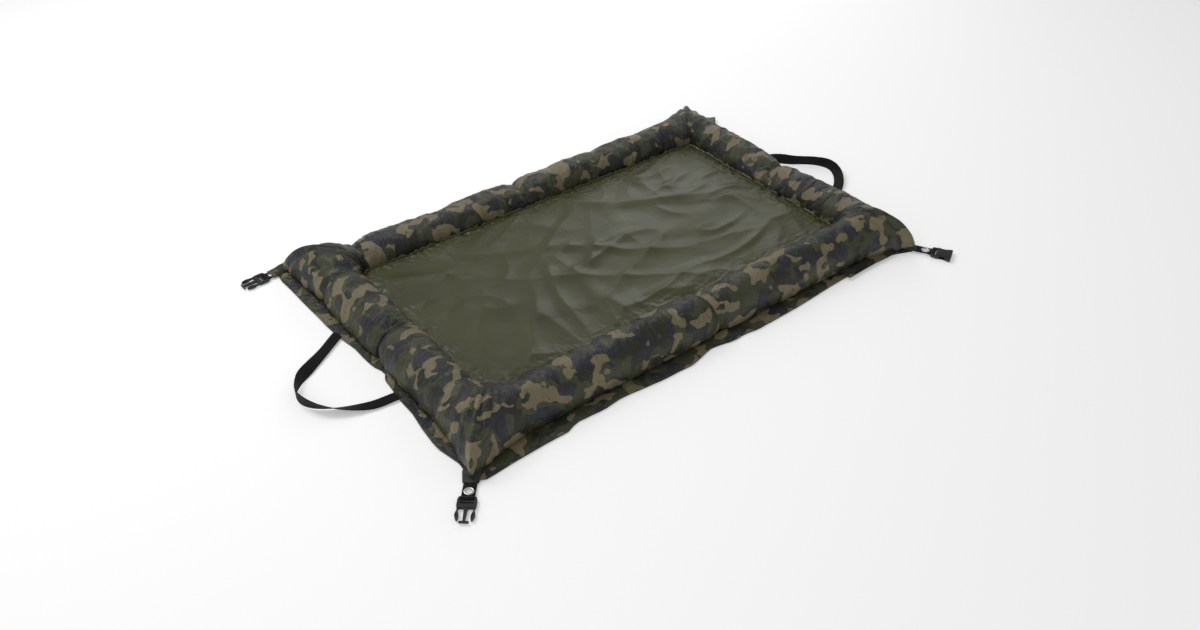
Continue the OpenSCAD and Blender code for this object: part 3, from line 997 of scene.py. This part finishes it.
def make_tray():
    half_x, half_y = HALF_LEN - TRAY_INSET, HALF_WID - TRAY_INSET
    nx = round(2 * half_x / TRAY_STEP) + 1
    ny = round(2 * half_y / TRAY_STEP) + 1
    radius = CORNER_R - TRAY_INSET
    verts = []
    for i in range(nx):
        for j in range(ny):
            gx = half_x * (2 * i / (nx - 1) - 1)
            gy = half_y * (2 * j / (ny - 1) - 1)
            x, y = rounded(gx, gy, half_x, half_y, radius)
            gap = min(half_x - abs(gx), half_y - abs(gy))
            verts.append((x, y, TRAY_Z + 0.3 * tray_height(x, y, gap)))
    faces = grid_faces(nx, ny)
    loop = [i * ny + j for i, j in rim_of(nx, ny)]
    edge = [Vector(verts[k]) for k in loop]
    count = len(loop)
    previous = loop
    for row, (out, up) in enumerate(LIP[1:]):
        made = []
        for k, point in enumerate(edge):
            run = edge[(k + 1) % count] - edge[k - 1]
            away = Vector((run.y, -run.x, 0)).normalized()
            frill = jitter(point.x * 75, point.y * 75, 4.4) * (row + 1)
            made.append(len(verts))
            verts.append(tuple(point + away * (out + 0.9 * MM * frill)
                               + Vector((0, 0, up + 1.3 * MM * frill))))
        for k in range(count):
            n = (k + 1) % count
            faces.append((previous[k], made[k], made[n], previous[n]))
        previous = made
    piece = make_object("tray_sheet", verts, faces)
    pinned = set(loop) | set(range(nx * ny, len(verts)))
    rest = points_of(piece) * np.array((1.012, 1.012, 1.0))
    co = simulate_cloth(piece, pinned, rest, 16, 0.0, 0.08, 6 * MM, gravity=0.05)
    co[:, 2] = np.maximum(co[:, 2], TRAY_Z - 0.4 * MM)
    move_points(piece, co)
    set_vector(piece, "flat", np.array(verts))
    subdivide(piece)
    cut = read_vector(piece, "flat")
    co = points_of(piece)
    co[:, 2] += [tray_height(x, y, max(0.0, min(half_x - abs(x), half_y - abs(y))))
                 for x, y, _ in cut]
    co[:, 2] = np.maximum(co[:, 2], FOAM_Z + 0.9 * MM)
    move_points(piece, co)
    finish_piece(piece, olive, "tray_sheet", "both halves", "tray_sheet_left",
                 "tray_sheet_right")


def make_core():
    """Foam core: a slab with rounded edges, in rows across the fold."""
    half_x, half_y = HALF_LEN - CORE_INSET, HALF_WID - CORE_INSET
    low, high, edge = GROUND_T + 1 * MM, FOAM_Z - 0.2 * MM, 3 * MM
    nx, ny = 91, 13

    def spot(i, j):
        return rounded(half_x * (2 * i / (nx - 1) - 1), half_y * (2 * j / (ny - 1) - 1),
                       half_x, half_y, CORE_R)

    rim = rim_of(nx, ny)
    count = len(rim)
    layers = ((edge, low), (0.0, low + edge), (0.0, high - edge), (edge, high))
    verts, faces = [], []
    for inset, z in layers:
        for x, y in (spot(*at) for at in rim):
            verts.append((x * (1 - inset / half_x), y * (1 - inset / half_y), z))
    for a in range(0, (len(layers) - 1) * count, count):
        for k in range(count):
            n = (k + 1) % count
            faces.append((a + k, a + n, a + count + n, a + count + k))
    for layer, z in ((0, low), (len(layers) - 1, high)):
        index = {at: layer * count + k for k, at in enumerate(rim)}
        for i in range(1, nx - 1):
            for j in range(1, ny - 1):
                index[i, j] = len(verts)
                x, y = spot(i, j)
                verts.append((x * 0.994, y * 0.99, z))
        for i in range(nx - 1):
            for j in range(ny - 1):
                quad = (index[i, j], index[i + 1, j], index[i + 1, j + 1], index[i, j + 1])
                faces.append(quad if layer else tuple(reversed(quad)))
    piece = make_object("foam_core", verts, faces)
    finish_piece(piece, foam, "foam", "both halves", "foam_core_left", "foam_core_right")


# ---------------------------------------------------------------- hem and ground sheet
# Outer edge of the hem as the mat lies, in millimetres: (along the side, distance from
# the centre line), along being X on the long sides and Y on the short ones
HEM_EDGES = {
    "near": ((-625, 411), (-592, 416), (-525, 410), (-406, 406), (-378, 396), (-309, 399),
             (-271, 393), (-174, 402), (-88, 404), (-23, 387), (28, 398), (67, 396),
             (95, 401), (225, 397), (378, 386), (537, 389), (597, 414)),
    "far": ((-608, 416), (-560, 408), (-440, 400), (-250, 397), (-100, 398), (-30, 388),
            (60, 397), (200, 399), (400, 398), (540, 403), (597, 414)),
    "left": ((-409, 625), (-361, 612), (-292, 626), (-232, 620), (-185, 613), (-136, 613),
             (-67, 607), (-43, 593), (-12, 605), (63, 607), (135, 616), (203, 618),
             (314, 620), (382, 622), (412, 616)),
    "right": ((-412, 602), (-350, 614), (-250, 612), (-100, 607), (0, 598), (100, 607),
              (250, 611), (350, 610), (412, 602)),
}


def hem_point(i):
    """Outer edge of the hem beside station i."""
    station = STATIONS[i]
    outer, t, s = station["out"], station["t"], station["s"]
    wave = 1.6 * MM * jitter(s * 21, 1.9, 4.1)
    if t is None:
        long_side = abs(outer.y) > HALF_WID + BOLSTER_W / 2
    else:
        long_side = (t > 0.5) == (station["corner"] in ("near_left", "far_right"))
    along, across = (outer.x, outer.y) if long_side else (outer.y, outer.x)
    names = ("near", "far") if long_side else ("left", "right")
    edge = HEM_EDGES[names[across > 0]]
    reach = np.interp(along / MM, [p[0] for p in edge], [p[1] for p in edge]) * MM
    reach = math.copysign(reach + wave, across)
    return Vector((along, reach) if long_side else (reach, along))


HEM_ROWS = 7
HEM_ROOT = 9 * MM  # the hem starts this far under the bolster


def make_hem():
    """Hem: a strip of cover fabric from under the bolster to the wavy outer edge."""
    rows = []
    for i, station in enumerate(STATIONS):
        start = station["out"] - (station["out"] - station["in"]).normalized() * HEM_ROOT
        edge = hem_point(i)
        s = station["s"]
        lift = 0.9 * MM * (1 + jitter(s * 11, 0.2, 8.8))
        line = []
        for j in range(HEM_ROWS):
            u = j / (HEM_ROWS - 1)
            at = start.lerp(edge, u)
            z = HEM_Z + 0.6 * MM + lift * math.sin(math.pi * u) ** 0.8
            z += MM * (1.5 * jitter(s * 45, u * 1.2, 1.1) + 0.9 * ridged(s * 80, u * 2, 4.1)) * u
            z = max(z, HEM_Z - 0.6 * MM)
            line.append((at.x, at.y, z))
        rows.append(line)
    verts = np.array(rows).reshape(-1, 3)
    piece = make_object("hem", verts, grid_faces(len(rows), HEM_ROWS, closed=True))
    set_vector(piece, "print", verts + np.array((2.3, 1.1, 0.7)))
    set_vector(piece, "flat", [(STATIONS[k // HEM_ROWS]["s"], 0.006 * (k % HEM_ROWS), 0)
                               for k in range(len(verts))])
    subdivide(piece)
    piece = thicken(piece, 1.2 * MM)
    finish_piece(piece, camo, "camo", "both halves", "hem_left", "hem_right")
    length = sum((hem_point(i) - hem_point(i - 1)).length for i in range(len(STATIONS)))
    return rows


def add_stitch(verts, faces, begin, end, side, up):
    """One stitch: a spindle of thread from begin to end, side and up being its radii."""
    first = len(verts)
    near, far = begin.lerp(end, 0.25), begin.lerp(end, 0.75)
    verts += [begin, near + side, near + up, near - side, far + side, far + up, far - side, end]
    faces += [tuple(first + n for n in face) for face in
              ((0, 2, 1), (0, 3, 2), (0, 1, 3), (1, 2, 5, 4), (2, 3, 6, 5), (3, 1, 4, 6),
               (7, 4, 5), (7, 5, 6), (7, 6, 4))]


def make_hem_stitches(rows):
    """Lockstitches along the hem, a few millimetres inside its edge."""
    verts, faces = [], []
    pitch, length, thick = 4.5 * MM, 3.2 * MM, 0.45 * MM
    line = []
    for row in rows:
        at = Vector(row[HEM_ROWS - 2]).lerp(Vector(row[HEM_ROWS - 1]), 0.35)
        line.append(Vector((at.x, at.y, at.z + 0.55 * MM)))
    travel = 0.0
    position = line[0].copy()
    for target in line[1:] + line[:1]:
        while (target - position).length > pitch - travel:
            step = (target - position).normalized()
            position = position + step * (pitch - travel)
            travel = 0.0
            half = step * length / 2
            add_stitch(verts, faces, position - half, position + half,
                       Vector((-step.y, step.x, 0)) * thick, Vector((0, 0, thick * 1.2)))
        travel += (target - position).length
        position = target.copy()
    piece = make_object("hem_stitching", [tuple(v) for v in verts], faces)
    finish_piece(piece, thread, "camo", "both halves")


def make_ground():
    """Ground sheet: the whole underside, cut to the hem's outline."""
    edge = [hem_point(i) * 0.9985 for i in range(0, len(STATIONS), 3)]
    rings = [1.0, 0.985, 0.94, 0.8, 0.6, 0.5, 0.42, 0.34, 0.28]
    rings += [0.26 - 0.02 * k for k in range(13)]  # fine where the sheet bends in the fold
    nx = len(edge)
    verts = [(p.x * ring, p.y * ring, 0.9 * MM) for ring in rings for p in edge]
    faces = []
    for r in range(len(rings) - 1):
        for k in range(nx):
            n = (k + 1) % nx
            faces.append((r * nx + k, r * nx + n, (r + 1) * nx + n, (r + 1) * nx + k))
    last = (len(rings) - 1) * nx
    faces.append(tuple(last + k for k in range(nx)))
    piece = make_object("ground_sheet", verts, faces)
    set_vector(piece, "flat", [(v[0], v[1], 0) for v in verts])
    piece = thicken(piece, 0.8 * MM)
    finish_piece(piece, ground, "ground_sheet", "both halves", "ground_sheet_left",
                 "ground_sheet_right")


# ---------------------------------------------------------------- webbing
WEB_W = 25 * MM
HANDLE_T = 1.8 * MM


def through(a, b, c, d, u):
    """A point of a smooth curve through b and c, u from 0 to 1."""
    a, b, c, d = (np.array(p, float) for p in (a, b, c, d))
    return 0.5 * (2 * b + (c - a) * u + (2 * a - 5 * b + 4 * c - d) * u ** 2
                  + (3 * b - a - 3 * c + d) * u ** 3)


def smooth(route, steps):
    made = []
    for i in range(len(route) - 1):
        a, d = route[max(i - 1, 0)], route[min(i + 2, len(route) - 1)]
        made += [through(a, route[i], route[i + 1], d, k / steps) for k in range(steps)]
    return made + [np.array(route[-1], float)]


def ribbon(name, centres, sides, width, thickness, columns=13):
    """A webbing strip: centres along it, sides the unit vectors across it."""
    centres = [Vector(c) for c in centres]
    sides = [Vector(v).normalized() for v in sides]
    count = len(centres)
    verts, flat = [], []
    s = 0.0
    offsets = [width * (k / (columns - 1) - 0.5) for k in range(columns)]
    for i, (at, side) in enumerate(zip(centres, sides)):
        if i:
            s += (at - centres[i - 1]).length
        run = centres[min(i + 1, count - 1)] - centres[max(i - 1, 0)]
        up = run.cross(side).normalized()
        for way in (1, -1):
            for k in (offsets if way > 0 else reversed(offsets)):
                edge = 1 - max(0.0, abs(k) / (width / 2) - 0.93) / 0.07 * 0.75
                verts.append(at + side * k + up * way * thickness / 2 * edge)
                flat.append((s, k, 0.0))
    piece = make_object(name, [tuple(v) for v in verts], tube_faces(count, 2 * columns))
    set_vector(piece, "flat", flat)
    return piece


# Routes of the carry handles in millimetres: x, y, z, tilt, 0 flat and 90 on edge
LEFT_ROUTE = (
    (-594, 133, 3.2, 0), (-618, 120, 4.6, 0), (-662, 90, 4.5, 0), (-708, 58, 8.5, 25),
    (-745, 28, 14, 70), (-767, -4, 15, 90), (-766, -38, 15, 90), (-744, -72, 13, 60),
    (-708, -98, 8.5, 25), (-662, -117, 4.5, 0), (-618, -122, 4.6, 0), (-594, -123, 3.2, 0),
)
RIGHT_ROUTE = (
    (594, 148, 3.2, 0), (618, 122, 4.8, 0), (638, 86, 11, 40), (660, 47, 15, 85),
    (700, 10, 15, 90), (719, -24, 14, 70), (711, -59, 11, 40), (684, -92, 7, 15),
    (650, -116, 4.5, 0), (618, -134, 4.6, 0), (594, -142, 3.2, 0),
)
HANDLE_STEPS = 9


def make_handle(name, route, turn, half):
    path = smooth(route, HANDLE_STEPS)
    centres, sides = [], []
    for i, p in enumerate(path):
        run = path[min(i + 1, len(path) - 1)] - path[max(i - 1, 0)]
        out = turn * Vector((run[1], -run[0], 0)).normalized()
        tilt = math.radians(p[3])
        centres.append(Vector(p[:3]) * MM)
        sides.append(out * math.cos(tilt) + Vector((0, 0, math.sin(tilt))))
    piece = ribbon(name, centres, sides, WEB_W, HANDLE_T)
    hinge = Vector(JOINTS[f"{name}_lift"]["pos_m"])
    outward = math.copysign(1, hinge.x)
    start = (hinge.x - outward * 12 * MM, 0, 0)
    end = (hinge.x + outward * 6 * MM, 0, 0)
    finish_piece(piece, webbing, "webbing", (half, name, start, end), name)


def at_tip(corner, along, across, up):
    """A point given along and across a corner's tab, in the mat's frame."""
    place, way = TIPS[corner]
    side = Vector((-way.y, way.x, 0))
    return place + way * along + side * across + Vector((0, 0, up))


BAR_S = (Vector(JOINTS["plug_near_left_swing"]["pos_m"])
         - Vector(JOINTS["tab_near_left_lift"]["pos_m"])).length
EYELET_S = 20 * MM
EYELET_R = 6 * MM
TAB_T = 1.1 * MM  # thickness of one of the tab's two layers
LOOP_R = 3.0 * MM  # middle of the webbing round the buckle's bar


def cut_round(piece, place, radius, depth):
    """Cuts a round hole through a piece, along Z."""
    count = 32
    ring = [(radius * math.cos(2 * math.pi * k / count),
             radius * math.sin(2 * math.pi * k / count)) for k in range(count)]
    verts = [(place.x + x, place.y + y, place.z + z) for z in (-depth, depth)
             for x, y in ring]
    cutter = make_object("cutter", verts, tube_faces(2, count))
    modifier = piece.modifiers.new("hole", "BOOLEAN")
    modifier.object = cutter
    modifier.solver = "EXACT"
    bake(piece)
    bpy.data.objects.remove(cutter)


def tab_bend(corner):
    """The blend at a tab's root: its half of the mat, its body, and where it bends."""
    half = "left_half" if "left" in corner else "right_half"
    start, end = (tuple(at_tip(corner, x, 0, 0) + MAT) for x in (-6 * MM, 3 * MM))
    return half, f"tab_{corner}", start, end


def make_tab(corner):
    """Corner tab: one length of webbing, looped round the buckle's bar."""
    half_gap = TAB_T * 0.55
    upper = [(-24 * MM, half_gap * 0.9)]
    upper += [(x * MM, half_gap) for x in (-16, -8, 0, 6, 12, 18, 24, 29)]
    upper += [(BAR_S - 6.5 * MM, half_gap + 0.9 * MM), (BAR_S - 4 * MM, LOOP_R - 0.9 * MM)]
    turns = [math.radians(125 - 250 * k / 12) for k in range(13)]
    profile = upper + [(BAR_S + LOOP_R * math.cos(a), LOOP_R * math.sin(a)) for a in turns]
    profile += [(x, -z) for x, z in reversed(upper)]
    way = TIPS[corner][1]
    side = Vector((-way.y, way.x, 0))
    centres = [at_tip(corner, s, 0, z) for s, z in profile]
    name = f"tab_{corner}"
    piece = ribbon(name, centres, [side] * len(centres), WEB_W, TAB_T)
    cut_round(piece, at_tip(corner, EYELET_S, 0, 0), EYELET_R + 0.6 * MM, 8 * MM)
    finish_piece(piece, webbing, "webbing", tab_bend(corner), name)


def make_tab_stitches(corner):
    """A box of stitches with a cross in it, beside the eyelet's outer side."""
    verts, faces = [], []
    top = TAB_T * 1.1 + 0.1 * MM
    radius = 0.35 * MM
    a, b, w = -1.5 * MM, 7.5 * MM, 9 * MM
    far_a, far_b = 31 * MM, 32.5 * MM
    lines = [((a, -w), (b, -w)), ((b, -w), (b, w)), ((b, w), (a, w)), ((a, w), (a, -w)),
             ((a, -w), (b, w)), ((a, w), (b, -w)), ((far_a, -w), (far_a, w)),
             ((far_b, -w), (far_b, w))]
    for begin, end in lines:
        length = math.dist(begin, end)
        count = max(2, round(length / (2.6 * MM)))
        for k in range(count):
            u0, u1 = (k + 0.12) / count, (k + 0.88) / count
            for z_way in (1, -1):
                p, q = (at_tip(corner, *Vector(begin).lerp(Vector(end), u), z_way * top)
                        for u in (u0, u1))
                step = (q - p).normalized()
                add_stitch(verts, faces, p, q, Vector((-step.y, step.x, 0)) * radius,
                           Vector((0, 0, z_way * radius)))
    piece = make_object(f"tab_{corner}_stitches", [tuple(v) for v in verts], faces)
    finish_piece(piece, thread, "webbing", f"tab_{corner}")


def make_eyelet(corner):
    """Rolled nickel eyelet: a lathe-turned ring through the tab."""
    profile = []
    top = TAB_T * 1.1
    for way in (1, -1):
        rim = [(9.7, 0.05), (9.6, 0.55), (9.1, 0.95), (8.3, 1.15), (7.4, 1.1), (6.7, 0.75),
               (6.25, 0.2)]
        rim = [(r * MM, way * (top + z * MM)) for r, z in rim]
        profile += rim if way > 0 else list(reversed(rim))
    profile.insert(7, (EYELET_R, 0.0))
    profile.append((7.2 * MM, -top + 0.05 * MM))
    profile.append((7.2 * MM, top - 0.05 * MM))
    count = 64
    cols = len(profile)
    verts = []
    for k in range(count):
        a = 2 * math.pi * k / count
        for r, z in profile:
            verts.append(tuple(at_tip(corner, EYELET_S + r * math.cos(a), r * math.sin(a), z)))
    faces = []
    for i in range(count):
        for j in range(cols):
            a, b = i * cols, ((i + 1) % count) * cols
            k = (j + 1) % cols
            faces.append((a + j, b + j, b + k, a + k))
    piece = make_object(f"eyelet_{corner}", verts, faces)
    finish_piece(piece, nickel, "eyelet", f"tab_{corner}", f"eyelet_{corner}")


# ---------------------------------------------------------------- buckles
def plate(name, loops, thickness, edge):
    """A flat piece with round edges: loops[0] is its outline, the others are holes."""
    curve = bpy.data.curves.new(name, "CURVE")
    curve.dimensions = "2D"
    curve.fill_mode = "BOTH"
    curve.extrude = thickness / 2 - edge
    curve.bevel_depth = edge
    curve.bevel_resolution = 3
    curve.offset = -edge
    for loop in loops:
        spline = curve.splines.new("POLY")
        spline.points.add(len(loop) - 1)
        for point, (x, y) in zip(spline.points, loop):
            point.co = (x * MM, y * MM, 0, 1)
        spline.use_cyclic_u = True
    return bake(link(bpy.data.objects.new(name, curve)))


def soften(loop, steps=3):
    """Rounds an outline through its points, for moulded shapes."""
    count = len(loop)
    made = []
    for i in range(count):
        a, b, c, d = (loop[(i + k) % count] for k in (-1, 0, 1, 2))
        made += [tuple(through(a, b, c, d, k / steps)) for k in range(steps)]
    return made


def mirrored(loop):
    return [(x, -y) for x, y in loop]


def both_sides(half):
    """Closes half an outline with its own mirror image."""
    return half + mirrored(reversed(half))


def bar(width, radius, place, count=20):
    """A round bar across a buckle, as a mesh in the buckle's own frame."""
    verts = []
    for y in (-width / 2, width / 2):
        for k in range(count):
            a = 2 * math.pi * k / count
            verts.append((place + radius * math.cos(a), y, radius * math.sin(a)))
    return make_object("bar", verts, tube_faces(2, count), shift=False)


def box_cutter(low, high):
    (x0, y0, z0), (x1, y1, z1) = low, high
    verts = [(x * MM, y * MM, z * MM) for x in (x0, x1) for y in (y0, y1) for z in (z0, z1)]
    faces = [(0, 1, 3, 2), (4, 6, 7, 5), (0, 4, 5, 1), (2, 3, 7, 6), (0, 2, 6, 4), (1, 5, 7, 3)]
    return make_object("cutter", verts, faces, shift=False)


def carve(piece, boxes):
    for low, high in boxes:
        cutter = box_cutter(low, high)
        modifier = piece.modifiers.new("cut", "BOOLEAN")
        modifier.object = cutter
        modifier.solver = "EXACT"
        bake(piece)
        bpy.data.objects.remove(cutter)


def weld(name, parts):
    """Joins closed solids into one mesh, without a boolean."""
    verts, faces = [], []
    for part in parts:
        first = len(verts)
        verts += [tuple(part.matrix_world @ v.co) for v in part.data.vertices]
        faces += [tuple(first + k for k in p.vertices) for p in part.data.polygons]
        bpy.data.objects.remove(part)
    return make_object(name, verts, faces, shift=False)


def shade_edges(piece):
    """Keeps the sharp edges of moulded plastic."""
    piece.data.set_sharp_from_angle(angle=math.radians(35))


def place_on_tab(piece, corner):
    """Moves a piece drawn along +X from the tip to a corner's tab."""
    place, way = TIPS[corner]
    turn = Matrix.Rotation(math.atan2(way.y, way.x), 4, "Z")
    shift = Matrix.Translation(place + MAT)
    piece.data.transform(shift @ turn)
    piece.data.update()


BAR = BAR_S / MM  # the buckle outlines below are in millimetres along the tab
RAIL = BAR - 5    # where a buckle begins
BAR_WINDOW = [(RAIL + 1, 12.7), (BAR + 5, 12.7), (BAR + 5, -12.7), (RAIL + 1, -12.7)]


def buckle_piece(name, corner, parts):
    """Joins a buckle piece's parts, and puts it on its tab."""
    piece = weld(name, parts)
    place_on_tab(piece, corner)
    shade_edges(piece)
    finish_piece(piece, plastic, "buckle", name, name)


def make_plug(corner):
    """Plug: frame with the bar, a cross rib, the bridge, and the stem with its T head."""
    body = BAR + 15
    prong = BAR + 21
    end = 93
    slot = [(BAR + 8, 12.2), (BAR + 12, 12.2), (BAR + 12, -12.2), (BAR + 8, -12.2)]
    frame_outline = both_sides([(RAIL + 0.9, -12.7), (RAIL, -12.7), (RAIL, -15),
                                (RAIL + 2, -16.6), (RAIL + 8, -18), (body, -17.8),
                                (prong - 1.5, -17.2), (prong, -15.8)])
    body_plate = plate("body", [frame_outline, BAR_WINDOW, slot], 6.8 * MM, 0.9 * MM)
    rib = plate("rib", [soften([(body + 0.5, -9), (prong - 1, -9), (prong - 1, 9),
                                (body + 0.5, 9)])], 7.0 * MM, 0.5 * MM)
    stem_outline = both_sides([(prong - 1.5, -5.5), (prong + 2, -4.2), (prong + 6, -3.2),
                               (end - 4, -2.4), (end - 3, -3), (end - 2.6, -9),
                               (end - 0.6, -9), (end, -8)])
    stem = plate("stem", [stem_outline], 5.0 * MM, 0.6 * MM)
    pin = bar(26.4 * MM, 1.9 * MM, BAR_S)
    buckle_piece(f"plug_{corner}", corner, [body_plate, rib, stem, pin])


def make_prong(corner, letter):
    """Sprung prong: a slim arm that widens to a hollowed leaf."""
    root = BAR + 21.3
    leaf = [(root, 13.2), (root, 15.8), (root + 4, 15.9), (root + 8, 16.6),
            (root + 11, 17.6), (root + 14, 18.1), (root + 18, 18.1), (root + 22, 17.0),
            (root + 25.5, 15.4), (root + 27.6, 13.4), (root + 26.5, 11.8),
            (root + 23, 10.9), (root + 18, 10.6), (root + 13, 11.4), (root + 8, 13.2),
            (root + 4, 13.5)]
    hollow = [(root + 13, 13.6), (root + 15, 15.9), (root + 19, 15.8), (root + 22.5, 14.4),
              (root + 22.5, 13.1), (root + 18, 12.6)]
    if letter == "b":
        leaf, hollow = mirrored(leaf), mirrored(hollow)
    shell = plate("shell", [soften(leaf), soften(hollow)], 6.0 * MM, 0.7 * MM)
    middle = root + 18, math.copysign(14.2, hollow[0][1])
    grown = [tuple(m + (c - m) * 1.25 for c, m in zip(point, middle)) for point in hollow]
    floor = plate("floor", [soften(grown)], 3.2 * MM, 0.3 * MM)
    buckle_piece(f"prong_{corner}_{letter}", corner, [shell, floor])


def make_socket(corner):
    """Socket: a waisted sleeve with side windows, a ribbed face and a webbing bar."""
    start = BAR + 6
    mouth = BAR + 40
    waist = 16
    right = [(start, -18), (start + 4, -17.6), (start + 9, -16.4), (start + 14, -waist),
             (start + 19, -16.4), (start + 25, -18.6), (mouth - 6, -20), (mouth - 0.6, -20),
             (mouth, -19.2)]
    sleeve = plate("sleeve", [both_sides(right)], 10.8 * MM, 2.2 * MM)
    carve(sleeve, [((start + 6, -13.8, -3.2), (mouth + 4, 13.8, 3.2)),
                   ((start + 9, -30, -2.6), (start + 21, 30, 2.6))])
    yoke_outline = both_sides([(RAIL + 0.9, -12.7), (RAIL, -12.7), (RAIL, -15.4),
                               (RAIL + 2, -17), (start + 3, -18)])
    yoke = plate("yoke", [yoke_outline, BAR_WINDOW], 7.6 * MM, 1.0 * MM)
    parts = [sleeve, yoke, bar(26.4 * MM, 1.9 * MM, BAR_S)]
    for k in range(3):
        x = start + 24 + 3.2 * k
        for z in (1, -1):
            rib = plate("rib", [[(x, -11), (x + 1.2, -11), (x + 1.2, 11), (x, 11)]],
                        1.0 * MM, 0.3 * MM)
            rib.data.transform(Matrix.Translation((0, 0, z * 5.2 * MM)))
            parts.append(rib)
    buckle_piece(f"socket_{corner}", corner, parts)


# ---------------------------------------------------------------- small fabric pieces
def fabric_patch(name, top, material, slot, body, node):
    """A small sewn piece, top(u, v) giving its points."""
    n = 13
    verts, flat = [], []
    for i in range(n):
        for j in range(n):
            u, v = i / (n - 1), j / (n - 1)
            verts.append(tuple(top(u, v)))
            flat.append(((u - 0.5), (v - 0.5), 0))
    piece = make_object(name, verts, grid_faces(n, n))
    set_vector(piece, "flat", flat)
    set_vector(piece, "print", np.array(verts) + 0.9)
    subdivide(piece)
    piece = thicken(piece, 0.8 * MM)
    finish_piece(piece, material, slot, body, node)


# Half width and length of each corner's patch, and how far it reaches out over the tab
PATCHES = {
    "near_left": (18 * MM, 31 * MM, 0.0), "near_right": (15 * MM, 31 * MM, 0.0),
    "far_right": (11 * MM, 18 * MM, 0.0), "far_left": (19 * MM, 31 * MM, 25 * MM),
}


def make_corner_patch(corner):
    """The fabric that the tab comes out of, folded over its root."""
    half_width, length, hood = PATCHES[corner]

    def top(u, v):
        along = -length + (length + hood) * u
        across = half_width * (2 * v - 1) * (1.05 - 0.25 * u)
        dome = (1 - (2 * v - 1) ** 4) ** 0.5
        rise = 2.4 * MM + 8.4 * MM * (1 - u) ** 1.6
        rise += 1.6 * MM * math.exp(-((u - 0.45) / 0.12) ** 2)
        if hood:
            rise += 3.0 * MM * u
        wrinkle = 1.1 * MM * jitter(u * 5, v * 4, CORNER_NAMES.index(corner))
        return at_tip(corner, along, across, (rise + wrinkle) * dome - 1.0 * MM)
    bend = tab_bend(corner)
    body = bend if hood else bend[0]
    fabric_patch(f"corner_patch_{corner}", top, camo if hood else patch_fabric, "camo", body,
                 f"corner_patch_{corner}")


def make_flap():
    """Overlapping flap on the near hem, where the hem's strip ends and begins."""
    low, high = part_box("hem_flap")

    def top(u, v):
        x = low.x - MAT_X + (high.x - low.x) * u
        y = low.y - MAT_Y + (high.y - low.y) * v
        z = low.z + 3.2 * MM + 1.2 * MM * jitter(u * 5, v * 3, 6) + 2.5 * MM * v
        return Vector((x, y + 3 * MM * jitter(u * 3, 0.4, 2) * (1 - v), z))
    fabric_patch("hem_flap", top, camo, "camo", "both halves", "hem_flap")


def make_label():
    low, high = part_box("label")
    at = Vector(((low.x + high.x) / 2 - MAT_X, (low.y + high.y) / 2 - MAT_Y))
    i = nearest_station(at.x, at.y)
    crown = RING[i][ARC_POINTS // 2 - 1]
    slope = RING[i][ARC_POINTS // 2 + 2] - RING[i][ARC_POINTS // 2 - 4]
    across = Vector(slope).normalized()
    along = Vector((1, 0, 0))
    up = along.cross(across).normalized()
    size_x, size_y = high.x - low.x, high.y - low.y

    def top(u, v):
        curve = -2.2 * MM * (2 * v - 1) ** 2
        return (Vector(crown) + along * size_x * (u - 0.5) + across * size_y * (v - 0.5)
                + up * (1.6 * MM + curve))
    fabric_patch("label", top, label_fabric, "label", "right_half", "label")


# ---------------------------------------------------------------- everything
make_camera()
make_stage()
make_covers()
make_fillings()
make_tray()
make_core()
hem_rows = make_hem()
make_hem_stitches(hem_rows)
make_ground()
make_handle("handle_left", LEFT_ROUTE, 1, "left_half")
make_handle("handle_right", RIGHT_ROUTE, -1, "right_half")
for each in CORNER_NAMES:
    make_tab(each)
    make_tab_stitches(each)
    make_eyelet(each)
    make_corner_patch(each)
for each in ("near_left", "far_left"):
    make_plug(each)
    make_prong(each, "a")
    make_prong(each, "b")
for each in ("near_right", "far_right"):
    make_socket(each)
make_flap()
make_label()
